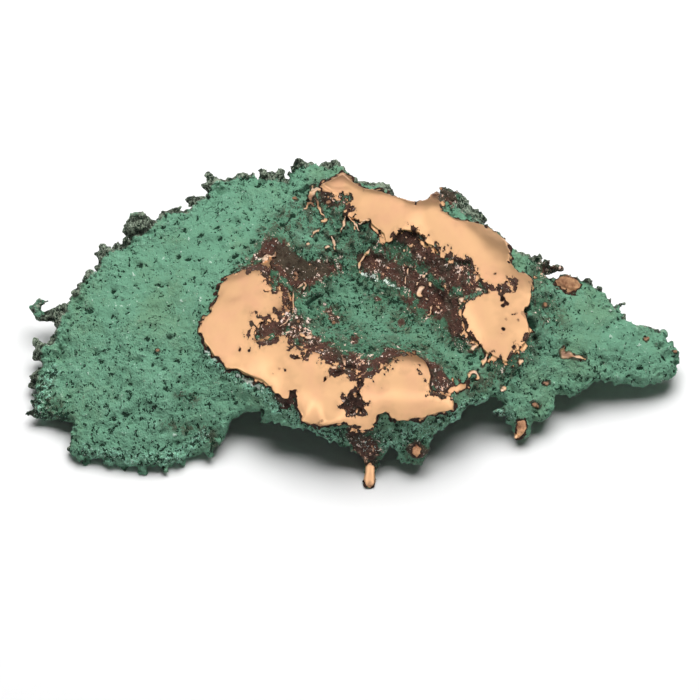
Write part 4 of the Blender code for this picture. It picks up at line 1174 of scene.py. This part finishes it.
def nugget_skin(sheet, sizes):
    """The skin over slab, spurs, legs and knobs, with finer quads at the marks and the edge."""
    slab = bent_slab(sheet, sizes)
    beads = spur_beads(sheet) + leg_beads(sheet) + edge_beads(sheet, sizes)
    centres = np.vstack([some for some, _ in beads])
    radii = np.concatenate([some for _, some in beads])
    parts = joined([mesh_arrays(slab), balls(centres, radii)])
    mesh = skinned(new_mesh("nugget", *parts), sizes.skin_voxel, 2)
    points, corners, _ = mesh_arrays(mesh)
    upward = read_points(mesh, "normal")[:, 2]
    bpy.data.meshes.remove(slab)
    bpy.data.meshes.remove(mesh)
    drawn = sheet.drawn(points)
    copper, strands = copper_depth(drawn)
    near = np.minimum(abs(copper), abs(strands + 0.3)) < FINE_MARK
    near |= rings_depth(drawn, [OUTLINE]) < FINE_EDGE
    quads = corners.reshape(-1, 4)
    wanted = (near & (upward > FACING_DOWN))[quads].any(axis=1)
    return new_mesh("nugget", *refined(points, quads, wanted))


def nugget_fields(sheet, points, normals):
    """What the relief and the material need to know at each point of the skin, by name."""
    drawn = sheet.drawn(points)
    upward = ease((normals[:, 2] + 0.2) / 0.5)
    hidden = np.where(seen(sheet, points, normals), 0, HIDDEN)
    copper, strands = copper_depth(drawn)
    within = rings_depth(drawn, PLATES.values())
    cuprite = rings_depth(drawn, CUPRITE.values())
    stained = chains_depth(drawn, STAINED.values())
    fray = ease(np.maximum(chains_depth(drawn, FRAYED.values()) / 3 + 0.6, (cuprite + 3.5) / 4))
    cuprite = np.maximum(np.where(cuprite > 0, 2 * cuprite, cuprite), 3 * stained)
    firm = cover(drawn, FIRM, 1)
    dull = cover(drawn, DULL, 1.5)
    ragged = 1.1 * lumps(points, 1.4 * MM, SEED + 31) + 0.8 * lumps(points, 3.4 * MM, SEED + 32)
    copper = copper + (1 - 0.75 * np.maximum(dull, firm)) * ragged
    edge = rings_depth(drawn, [OUTLINE])
    deeper = rings_depth(drawn + BACK_EDGE, [OUTLINE]) - edge
    return {
        "copper": copper + hidden,
        "drops": strands + hidden,
        "plates": np.minimum(within, copper + 0.4) + hidden,
        "cuprite": cuprite + hidden,
        "stained": ease(stained / 1.5 + 0.5) * upward,
        "fray": fray * (1 - firm),
        "dent": ease(rings_depth(drawn, DENT.values()) / 5 + 0.3),
        "shaded": cover(drawn, SHADED, 2),
        "murky": ease(np.maximum(cuprite / 5.5 + 1, chains_depth(drawn, MURKY.values()) / 3 + 0.5)),
        "smooth": cover(drawn, SMOOTH, 5, 0.3),
        "sparkle": cover(drawn, SPARKLES, 1) * upward,
        "within": within + hidden,
        "edge": edge,
        "rind": ease(0.2 - edge / 2.4) * ease(0.5 + deeper),
        "upward": upward,
        "dull": dull,
        "crack": cover(drawn, CRACKS, 0.5) * upward,
    }


def warped(points, spacing, reach, seed):
    """Points each moved a little by three smooth random fields, which makes round things ragged."""
    shift = [lumps(points, spacing, seed + axis) for axis in range(3)]
    return points + reach * np.column_stack(shift)


def hollows(points):
    """Depth of the scattered hollows: each one's own, times the eased share of its radius left."""
    chance = np.random.default_rng(SEED)
    places = chance.uniform((-0.1, -0.06), (0.1, 0.06), (HOLLOWS, 2))
    radii = chance.uniform(1.6 * MM, 2.8 * MM, HOLLOWS)
    depths = chance.uniform(0.8 * MM, 1.4 * MM, HOLLOWS)
    gaps = np.hypot(points[:, :1] - places[:, 0], points[:, 1:2] - places[:, 1]) / radii
    return (depths * ease(1 - gaps)).max(axis=1)


def relief_of(sizes, points, fields):
    """How far the fine relief moves the skin, its pits from 0 to 1, and its lumps in mm.

    The crust rises by its grit and warts and falls by its pits, cracks and hollows. The plates
    rise by an eased step along their edge.
    """
    rough = 1 - ease(fields["copper"] / 0.8 + 0.5)
    crumbly = 1 - ease((fields["edge"] - 0.5) / 4)
    grit = (
        0.8 * lumps(points, 4.5 * MM, SEED + 11)
        + 0.9 * lumps(points, 2.4 * MM, SEED + 12)
        + 0.6 * (1 + 0.7 * crumbly) * lumps(points, 1.3 * MM, SEED + 13)
    )
    ragged = warped(points, 1.1 * MM, 0.75 * MM, SEED + 40)
    pits = bubbles(ragged, 2.9 * MM, SEED + 14) + 0.8 * bubbles(ragged, 1.7 * MM, SEED + 15)
    warts = bubbles(ragged, 2.2 * MM, SEED + 16) + 0.7 * bubbles(ragged, 1.3 * MM, SEED + 17)
    crumbly = np.maximum(crumbly, 0.7 * fields["shaded"])
    rise = sizes.grit * grit + (0.15 + 0.85 * crumbly) * sizes.wart * warts
    relief = (rise - sizes.pit_depth * pits) * rough - 1.3 * MM * fields["crack"]
    relief -= hollows(points) * rough * fields["upward"]
    relief += sizes.plate_rise * ease(fields["plates"] * MM / sizes.plate_ledge + 0.5)
    return relief, pits * rough, rise / MM


def laid_flat(sheet, sizes, points, fields):
    """Moves of the skin under the plates onto the smooth sheet's own top, a little uneven.

    Each is along the sheet's normal: half its thickness and a lump, less how far off it is now.
    """
    share = ease(fields["plates"] / 3 + 0.3)
    chosen = share > 0
    x, y, z = points[chosen].T
    normal = sheet.normal(x, y)
    off = (z - sheet.height(x, y)) * normal[:, 2]
    uneven = 0.25 * broad_lumps(x, y, np.ones(len(x)))
    move = np.zeros(points.shape)
    lift = share[chosen] * (sizes.sheet / 2 + uneven - off)
    move[chosen] = normal * lift[:, None]
    return move


def split_skin(mesh, fields, pieces):
    """One skin as several pieces, each of its chosen faces, that meet without a seam."""
    points, corners, counts = mesh_arrays(mesh)
    normals = read_points(mesh, "normal")
    bpy.data.meshes.remove(mesh)
    meshes = []
    for name, chosen in pieces.items():
        own = corners[np.repeat(chosen, counts)]
        used = np.unique(own)
        number = np.zeros(len(points), np.int64)
        number[used] = np.arange(len(used))
        piece = new_mesh(name, points[used], number[own], counts[chosen])
        for field, values in fields.items():
            write_field(piece, field, values[used])
        piece.shade_smooth()
        piece.normals_split_custom_set_from_vertices(normals[used])
        meshes.append(piece)
    return meshes


def nugget_pieces(sheet, sizes):
    """The skin pushed along its normals by the fine relief and held in the solid's box."""
    mesh = nugget_skin(sheet, sizes)
    points, corners, counts = mesh_arrays(mesh)
    normals = read_points(mesh, "normal")
    fields = nugget_fields(sheet, points, normals)
    points = points + laid_flat(sheet, sizes, points, fields)
    relief, fields["pits"], fields["rise"] = relief_of(sizes, points, fields)
    points = in_box(points + normals * relief[:, None])
    write_points(mesh, points)
    starts = np.cumsum(counts) - counts
    top = np.add.reduceat(normals[corners, 2], starts) / counts > FACING_DOWN
    left = points[corners[starts], 0] < 0
    return split_skin(mesh, fields, dict(zip(SKIN, (top & left, top & ~left, ~top))))


def near_grid(sheet, points):
    """How near the skin comes to the eye over a grid of the drawing, with the grid's corner."""
    drawn = sheet.drawn(points)
    low = drawn.min(axis=0) - 2
    i, j = grid_cell(drawn, low)
    near = np.full((i.max() + 4, j.max() + 4), -1.0)
    np.maximum.at(near, (i, j), sheet.toward(points))
    return near, low


def grid_cell(drawn, low):
    """Which cell of the grid each drawn point is in."""
    return ((drawn - low) / NEAR_CELL).astype(int).T


def seen(sheet, points, normals):
    """Which points face the eye with nothing much nearer to it in front of them."""
    near, low = near_grid(sheet, points)
    i, j = grid_cell(sheet.drawn(points), low)
    ahead = normals[:, 2] * sheet.sine - normals[:, 1] * sheet.cosine
    return (ahead > 0) & (sheet.toward(points) > near[i, j] - NEAR_GAP)


def skin_toward(grid, drawn):
    """How far the skin is towards the eye at drawn points: the mean of the cells round each."""
    near, low = grid
    i, j = grid_cell(drawn, low)
    around = np.stack([near[i + a, j + b] for a in (-1, 0, 1) for b in (-1, 0, 1)])
    found = around > -1
    return (around * found).sum(axis=0) / np.maximum(found.sum(axis=0), 1)


def molten(chain, chance):
    """A strand's beads: its radius swells and shrinks, its path wanders and its ends thin out.

    Swell and wander are sums of a slow and a quick sine. A lone drop is a cluster of beads.
    """
    chain = np.array(chain, float)
    if len(chain) == 1:
        places = chain[0, :2] + chance.normal(0, 0.3, (CLUSTER, 2)) * chain[0, 2]
        return places, chain[0, 2] * chance.uniform(0.5, 0.9, CLUSTER)
    flat = np.column_stack([chain[:, :2], np.zeros(len(chain))])
    places, radii = spaced(flat, chain[:, 2])
    share = np.linspace(0, 1, len(radii))
    phase = chance.uniform(0, 6.3, 6)
    swell = 0.8 + 0.3 * np.sin(9 * share + phase[0]) + 0.2 * np.sin(21 * share + phase[1])
    ends = 0.45 + 0.55 * ease(6 * np.minimum(share, 1 - share))
    slow = np.column_stack([np.sin(7 * share + phase[2]), np.sin(8 * share + phase[3])])
    quick = np.column_stack([np.sin(17 * share + phase[4]), np.sin(19 * share + phase[5])])
    return places[:, :2] + 0.22 * (slow + 0.5 * quick), radii * swell * ends


def drop_mesh(sheet, grid):
    """Beads along every strand, half sunk in the skin, fused and smoothed into molten wires."""
    chance = np.random.default_rng(SEED + 50)
    centres = []
    radii = []
    for chain in STRANDS.values():
        places, sizes = molten(chain, chance)
        toward = skin_toward(grid, places) - DROP_SINK * MM * sizes
        centres.append(sheet.seen_at(places, toward))
        radii.append(sizes * MM)
    beads = balls(np.vstack(centres), np.concatenate(radii), sides=12, rings=8)
    mesh = skinned(new_mesh("copper_drops", *beads), DROP_VOXEL, 1)
    points = read_points(mesh)
    write_points(mesh, in_box(points))
    write_field(mesh, "dull", cover(sheet.drawn(points), DULL, 1.5))
    mesh.shade_smooth()
    return mesh


class Sock:
    """One socket of a material. Arithmetic on it adds Math nodes."""

    def __init__(self, wires, socket):
        self.wires = wires
        self.socket = socket

    def maths(self, operation, *values, clamp=False):
        """The result of one Math node."""
        settings = {"operation": operation, "use_clamp": clamp}
        return self.wires.node("ShaderNodeMath", settings, dict(enumerate(values)))

    def __add__(self, other):
        return self.maths("ADD", self, other)

    def __sub__(self, other):
        return self.maths("SUBTRACT", self, other)

    def __rsub__(self, other):
        return self.maths("SUBTRACT", other, self)

    def __mul__(self, other):
        return self.maths("MULTIPLY", self, other)

    __radd__ = __add__
    __rmul__ = __mul__

    def most(self, *others):
        """The largest of this value and the others."""
        largest = self
        for other in others:
            largest = self.maths("MAXIMUM", largest, other)
        return largest

    def clamped(self):
        """The value held between 0 and 1."""
        return self.maths("ADD", self, 0, clamp=True)

    def step(self, start, end):
        """0 at start, 1 at end, eased between them."""
        return self.wires.node(
            "ShaderNodeMapRange",
            {"interpolation_type": "SMOOTHSTEP"},
            {"Value": self, "From Min": start, "From Max": end},
        )


class Wires:
    """Adds and wires the nodes of one material."""

    def __init__(self, name):
        self.material = bpy.data.materials.new(name)
        self.material.use_nodes = True
        self.tree = self.material.node_tree
        self.shader = self.tree.nodes["Principled BSDF"]

    def node(self, kind, settings, inputs, output=0):
        """Adds a node: its settings first, then the values or links of its sockets."""
        node = self.tree.nodes.new(kind)
        for name, value in settings.items():
            setattr(node, name, value)
        for name, value in inputs.items():
            self.feed(node.inputs[name], value)
        return Sock(self, node.outputs[output])

    def feed(self, socket, value):
        """Links a socket, or sets its own value."""
        if isinstance(value, Sock):
            self.tree.links.new(value.socket, socket)
        else:
            socket.default_value = value

    def field(self, name):
        """A number kept on the mesh."""
        return self.node("ShaderNodeAttribute", {"attribute_name": name}, {}, "Fac")

    def place(self):
        """Where a point is on its own object."""
        return self.node("ShaderNodeTexCoord", {}, {}, "Object")

    def noise(self, place, spacing, detail, rough=0.5):
        """Noise about its middle, from -1 to 1, whose lumps are the given spacing apart."""
        value = self.node(
            "ShaderNodeTexNoise",
            {"noise_dimensions": "3D"},
            {"Vector": place, "Scale": 1 / spacing, "Detail": detail, "Roughness": rough},
            "Fac",
        )
        return value * 2 - 1

    def mix(self, share, low, high):
        """A colour that goes from low to high as share goes from 0 to 1."""
        return self.node(
            "ShaderNodeMix",
            {"data_type": "RGBA", "clamp_factor": True},
            {"Factor": share, "A": low, "B": high},
            "Result",
        )

    def feed_shader(self, **inputs):
        """Feeds the shader's sockets, named with _ for each space."""
        for name, value in inputs.items():
            self.feed(self.shader.inputs[name.replace("_", " ")], value)


class Grain:
    """Noises of several sizes that the nugget's colours share, each named after what it makes."""

    def __init__(self, wires):
        place = wires.node(
            "ShaderNodeVectorMath",
            {"operation": "MULTIPLY"},
            {0: wires.place(), 1: (1, 0.72, 1)},
        )
        self.speck = wires.noise(place, 0.32 * MM, 1.0, 0.6)
        self.fine = wires.noise(place, 0.7 * MM, 2.0, 0.6)
        self.flecks = wires.noise(place, 1.15 * MM, 2.0, 0.6)
        self.coarse = wires.noise(place, 1.8 * MM, 3.0, 0.65)
        self.ragged = wires.noise(place, 2.1 * MM, 3.0, 0.6)
        self.clots = wires.noise(place, 2.6 * MM, 2.0, 0.6)
        self.patches = wires.noise(place, 3.4 * MM, 4.0, 0.65)
        self.broad = wires.noise(place, 9 * MM, 3.0, 0.6)
        self.drift = wires.noise(place, 22 * MM, 3.0, 0.6)


def nugget_material(colours):
    """Patina, oxide and bare copper, laid out by the fields kept on the mesh."""
    wires = Wires("patinated copper")
    grain = Grain(wires)
    shaded = wires.field("shaded")
    inside = wires.field("within").step(-0.6, 0.4)
    frayed = wires.field("fray") * (grain.ragged * 9 - 0.8)
    depth = wires.field("copper") + grain.fine * 0.3 + frayed
    bare = depth.step(-0.06, 0.06)
    cuprite = wires.field("cuprite") + grain.patches * 5 + grain.coarse * 3 + grain.fine * 2.5
    oxide = cuprite.step(-1, 1).most(inside)
    crust, holes = crust_colour(wires, grain, colours)
    colour = wires.mix(oxide, crust, oxide_colour(wires, grain, colours, inside))

    crumbs = grain.flecks * 0.8 + grain.speck * 0.5 + grain.coarse * 0.4 + grain.clots * 0.3
    crumbs = crumbs - inside * 0.08 + grain.broad * 0.4 - wires.field("stained") * 0.07
    pink = (grain.coarse + grain.patches).step(-0.3, 0.3)
    crumb = wires.mix(pink, colours.copper_rosy, colours.crumbs)
    colour = wires.mix(crumbs.step(0.25, 0.31) * oxide, colour, crumb)

    # Glints: pale specks and clusters painted as highlights, more of them along the front and on the oxide.
    spark = grain.speck * 0.8 + grain.fine * 0.8 - grain.coarse * 0.2
    spark = spark + shaded * 0.15 + oxide * 0.06
    clusters = wires.field("sparkle") * 1.6 + grain.coarse * 1.2 + grain.fine - 1.4
    glints = spark.step(0.55, 0.62).most(clusters.step(0, 0.1))
    colour = wires.mix(glints, colour, colours.glint)

    rim = depth + 0.7 + grain.coarse * 0.9 - wires.field("dull") * 0.4
    # A dark ring round each drop: painted shade where it sits on the skin.
    shade = (wires.field("drops") + 0.2 + grain.fine * 0.8).step(-0.1, 0.15) * 0.8
    maroon = (grain.coarse + grain.fine * 0.5).step(0, 0.3) * 0.7
    ledge = wires.mix(maroon, colours.ledge, colours.oxide_maroon)
    colour = wires.mix(rim.step(-0.2, 0.1).most(shade), colour, ledge)
    colour = wires.mix(bare, colour, bare_colour(wires, grain, colours, depth))

    crusty = grain.fine * 0.35 + grain.coarse * 0.5 + grain.speck * 0.15
    crusty = crusty * (1 - wires.field("smooth") * 0.4) - holes * 0.6
    height = crusty * (1 - bare) + bare * 0.15
    normal = wires.node(
        "ShaderNodeBump", {}, {"Strength": 1.0, "Distance": MM, "Height": height}, "Normal"
    )
    rough = 0.8 - oxide * 0.25 - glints * 0.45 - shaded * 0.2
    wires.feed_shader(
        Base_Color=colour,
        Metallic=bare * 0.85,
        Specular_IOR_Level=0.2,
        Roughness=rough * (1 - bare) + bare * 0.36,
        Normal=normal,
    )
    return wires.material


def crust_colour(wires, grain, colours):
    """The green crust: mottled, with painted light and shade on its lumps, painted shade in the dent and
    its crisp dark pits, and painted highlights along the front. Also the pits.
    """
    rise = wires.field("rise")
    dent = wires.field("dent")
    shaded = wires.field("shaded")
    murky = wires.field("murky")
    smooth = wires.field("smooth")
    # Lumps are lighter and the low places between them darker, by rise: painted light and shade on the
    # relief.
    mottle = grain.broad * 0.35 + grain.patches * 0.7 + grain.coarse * 0.5
    mottle = mottle + grain.fine * 0.35 + grain.speck * 0.2 + rise * 0.35
    mottle = mottle * (shaded * 0.8 - smooth * 0.35 + 1) + shaded * 0.2
    colour = wires.mix(mottle.step(0.05, 0.65) * 0.8, colours.patina, colours.patina_light)
    olive = grain.drift + grain.patches * 0.5 + grain.fine * 0.2
    colour = wires.mix(olive.step(-0.1, 0.5) * 0.6, colour, colours.patina_olive)
    # Darker in the dent as painted shade, and where murky stains the crust.
    dark = mottle.step(-0.1, -0.7) * 0.8 + dent * 0.2 + murky * 0.36 + smooth * 0.1
    colour = wires.mix(dark.clamped(), colour, colours.patina_dark)
    stain = grain.patches + grain.coarse * 0.8 + grain.fine * 0.6 + grain.speck * 0.2
    colour = wires.mix(stain.step(-0.1, 0.12) * murky * 0.75, colour, colours.oxide_dark)
    knobs = wires.field("rind") + grain.ragged * 0.9 + grain.fine * 0.4
    # The rind is lighter grey on its raised lumps: painted light.
    grey = (grain.fine + grain.speck * 0.6 + rise * 0.5).step(-0.2, 0.5)
    rind = wires.mix(grey, colours.rind_dark, colours.rind)
    colour = wires.mix(knobs.step(0.25, 0.65) * 0.95, colour, rind)
    clots = grain.clots * 0.35 + grain.broad * 0.15 - (shaded + murky) * 0.07 - dent * 0.03
    clots = clots + smooth * 0.07
    pale = (grain.coarse + grain.fine * 0.6 + clots + shaded * 0.2).step(0.45, 0.6) * 0.5
    colour = wires.mix(pale, colour, colours.glint)
    # Pale shiny lumps along the front, brightest on the raised lumps: painted highlights.
    painted_sheen = (grain.fine + grain.speck * 0.5 + grain.coarse * 0.4 + rise * 0.4).step(0.1, 0.3)
    colour = wires.mix(painted_sheen * shaded * 0.9, colour, colours.painted_sheen)
    # Pits, cracks and fine specks go near black: painted shade in the hollows.
    hollow = (wires.field("pits") + grain.fine * 0.8 + grain.speck * 0.5).step(0.48, 0.58)
    flecks = (grain.flecks + grain.speck * 0.3 + clots - shaded * 0.06).step(-0.26, -0.29)
    crumbs = (grain.fine + grain.speck * 0.4 + clots).step(-0.38, -0.42)
    holes = hollow.most(flecks, crumbs, wires.field("crack"))
    return wires.mix(holes * 0.95, colour, colours.pit), holes


def oxide_colour(wires, grain, colours, inside):
    """The oxide: patches of maroon and olive, blotched with green, darkened here and there."""
    stained = wires.field("stained")
    blend = grain.patches + grain.coarse * 0.5 + grain.fine * 0.3 - (inside + stained) * 0.1
    blend = blend + wires.field("dull") * 0.5
    colour = wires.mix(blend.step(-0.2, 0.2), colours.oxide_maroon, colours.oxide_dark)
    green = grain.patches * 1.1 - grain.broad * 0.8 + grain.clots * 0.4 + grain.fine * 0.4
    green = green - inside * 0.5 - stained * 0.8 + 0.08
    colour = wires.mix(green.step(0, 0.25) * 0.9, colour, colours.patina_dark)
    dark = (grain.clots + grain.flecks * 0.6 + grain.fine * 0.4).step(-0.05, -0.5) * 0.8
    return wires.mix(dark, colour, colours.ledge)


def bare_colour(wires, grain, colours, depth):
    """Bare copper: rosy in drifts, browner where it has dulled and along its edge."""
    colour = wires.mix(grain.broad.step(-0.2, 0.6), colours.copper, colours.copper_rosy)
    edge = (depth + grain.coarse * 0.8).step(0.45, 0.1) * 0.5
    tan = (depth + grain.broad * 2).step(3, 0) * 0.16
    blotched = wires.field("dull") * (grain.coarse * 0.9 + 0.75)
    return wires.mix(blotched.most(edge, tan), colour, colours.copper_dull)


def copper_material(colours):
    """The drops' copper, paler here and there."""
    wires = Wires("bare copper")
    tint = wires.noise(wires.place(), 2 * MM, 2.0).step(-0.3, 0.4)
    colour = wires.mix(tint, colours.drops, colours.copper)
    wires.feed_shader(
        Base_Color=wires.mix(wires.field("dull") * 0.8, colour, colours.copper_dull),
        Metallic=0.85,
        Roughness=0.3,
    )
    return wires.material


def floor_material(colour):
    """The floor's matt paint, one colour all over."""
    wires = Wires("floor")
    wires.feed_shader(Base_Color=colour, Roughness=0.9)
    return wires.material


def add_piece(name, mesh, finish):
    """Puts a piece of the nugget in the scene in place of the solid."""
    piece = new_object(name, mesh)
    mesh.materials.append(finish)
    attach(piece, "root")
    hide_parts(NODE)


class NUGGET_OT_skin(bpy.types.Operator):
    """Build the nugget's skin over the solid, with its patina, oxide and smooth plates"""

    bl_idname = "nugget.skin"
    bl_label = "Skin"

    def execute(self, context):
        sizes = context.scene.nugget_sizes
        finish = nugget_material(context.scene.nugget_colours)
        for mesh in nugget_pieces(Sheet(sizes), sizes):
            add_piece(mesh.name, mesh, finish)
        return {"FINISHED"}


class NUGGET_OT_drops(bpy.types.Operator):
    """Lay the drops and wires of bare copper on the nugget's skin"""

    bl_idname = "nugget.drops"
    bl_label = "Copper drops"

    def execute(self, context):
        sheet = Sheet(context.scene.nugget_sizes)
        skin = np.vstack([read_points(bpy.data.objects[name].data) for name in SKIN])
        drops = drop_mesh(sheet, near_grid(sheet, skin))
        add_piece("copper_drops", drops, copper_material(context.scene.nugget_colours))
        return {"FINISHED"}


class NUGGET_OT_stage(bpy.types.Operator):
    """Lay the floor, hang the lamps and set up the camera"""

    bl_idname = "nugget.stage"
    bl_label = "Stage"

    def execute(self, context):
        stage = context.scene.nugget_stage
        floor = new_mesh("floor", *floor_grid())
        floor.materials.append(floor_material(stage.floor))
        new_object("floor", floor)
        sky(stage)
        # Each lamp's degrees back and round, metres away, two sides in metres, and power.
        key = panel("key", 26, -8, 1.3, (1.3, 1.1), stage.key)
        fill = panel("fill", -87, 0, 1.5, (1.2, 0.3), stage.fill)
        for lamp in (key, fill):
            lamp.visible_glossy = False
        tent = panel("tent", 0, 0, 1.5, (7, 7), stage.tent)
        tent.location.y = -1.5
        front = panel("front sheet", -70, 0, 2.3, (7, 1.6), stage.front)
        left = panel("left sheet", -70, -90, 2.6, (6, 1.8), stage.sides)
        right = panel("right sheet", -70, 90, 2.6, (6, 1.8), stage.sides)
        for mirrored in (tent, front, left, right):
            mirrored.visible_diffuse = False
        camera(stage, Sheet(context.scene.nugget_sizes))
        context.scene.view_settings.view_transform = "Standard"
        return {"FINISHED"}


def floor_grid():
    """A level square as one face, its corners as far from the middle both ways."""
    corners = FLOOR_HALF * np.array([(-1, -1, 0), (1, -1, 0), (1, 1, 0), (-1, 1, 0)])
    return corners, np.arange(4), np.array([4])


def sky(stage):
    """A plain white sky, for the soft light from all round."""
    world = bpy.data.worlds.new("sky")
    world.use_nodes = True
    background = world.node_tree.nodes["Background"]
    background.inputs["Color"].default_value = (1, 1, 1, 1)
    background.inputs["Strength"].default_value = stage.sky
    bpy.context.scene.world = world


def panel(name, lean, turn, away, size, power):
    """A soft lamp that faces the nugget: degrees back from overhead, then turned about it."""
    lamp = bpy.data.lights.new(name, "AREA")
    lamp.shape = "RECTANGLE"
    lamp.size, lamp.size_y = size
    lamp.energy = power
    obj = new_object(name, lamp)
    lean, turn = math.radians(lean), math.radians(turn)
    level = away * math.sin(lean)
    obj.location = (-level * math.sin(turn), level * math.cos(turn), away * math.cos(lean))
    obj.rotation_euler = (-lean, 0, turn)
    return obj


def camera(stage, sheet):
    """A long lens that looks along the drawing's line of sight at the middle of the view."""
    lens = bpy.data.cameras.new("camera")
    lens.lens = stage.lens
    lens.clip_end = 100
    distance = stage.view_width * stage.lens / lens.sensor_width
    across, up, height = (value * MM for value in AIM)
    aim = np.array([across + sheet.centre[0], sheet.plan_y(up, height), height])
    back = np.array([0, -math.cos(stage.elevation), math.sin(stage.elevation)])
    obj = new_object("camera", lens)
    obj.location = aim + distance * back
    obj.rotation_euler = (math.pi / 2 - stage.elevation, 0, 0)
    bpy.context.scene.camera = obj


class NUGGET_PT_sidebar(bpy.types.Panel):
    """Lists the pieces and their settings"""

    bl_idname = "NUGGET_PT_sidebar"
    bl_label = "Copper nugget"
    bl_space_type = "VIEW_3D"
    bl_region_type = "UI"
    bl_category = "Nugget"

    def draw(self, context):
        for operator in OPERATORS:
            self.layout.operator(operator.bl_idname)
        for name, group in GROUPS.items():
            box = self.layout.box()
            for setting in group.__annotations__:
                box.prop(getattr(context.scene, name), setting)


GROUPS = {
    "nugget_sizes": NuggetSizes, "nugget_colours": NuggetColours, "nugget_stage": StageSettings
}
OPERATORS = (NUGGET_OT_skin, NUGGET_OT_drops, NUGGET_OT_stage)
CLASSES = (*GROUPS.values(), *OPERATORS, NUGGET_PT_sidebar)


def register():
    """Registers the classes, then hangs the settings on the scene."""
    for item in CLASSES:
        bpy.utils.register_class(item)
    for name, group in GROUPS.items():
        setattr(bpy.types.Scene, name, bpy.props.PointerProperty(type=group))


def unregister():
    """Takes the settings off the scene, then the classes away."""
    for name in GROUPS:
        delattr(bpy.types.Scene, name)
    for item in reversed(CLASSES):
        bpy.utils.unregister_class(item)


def main():
    """Builds the nugget and its stage."""
    register()
    bpy.ops.nugget.skin()
    bpy.ops.nugget.drops()
    bpy.ops.nugget.stage()


if __name__ == "__main__":
    main()
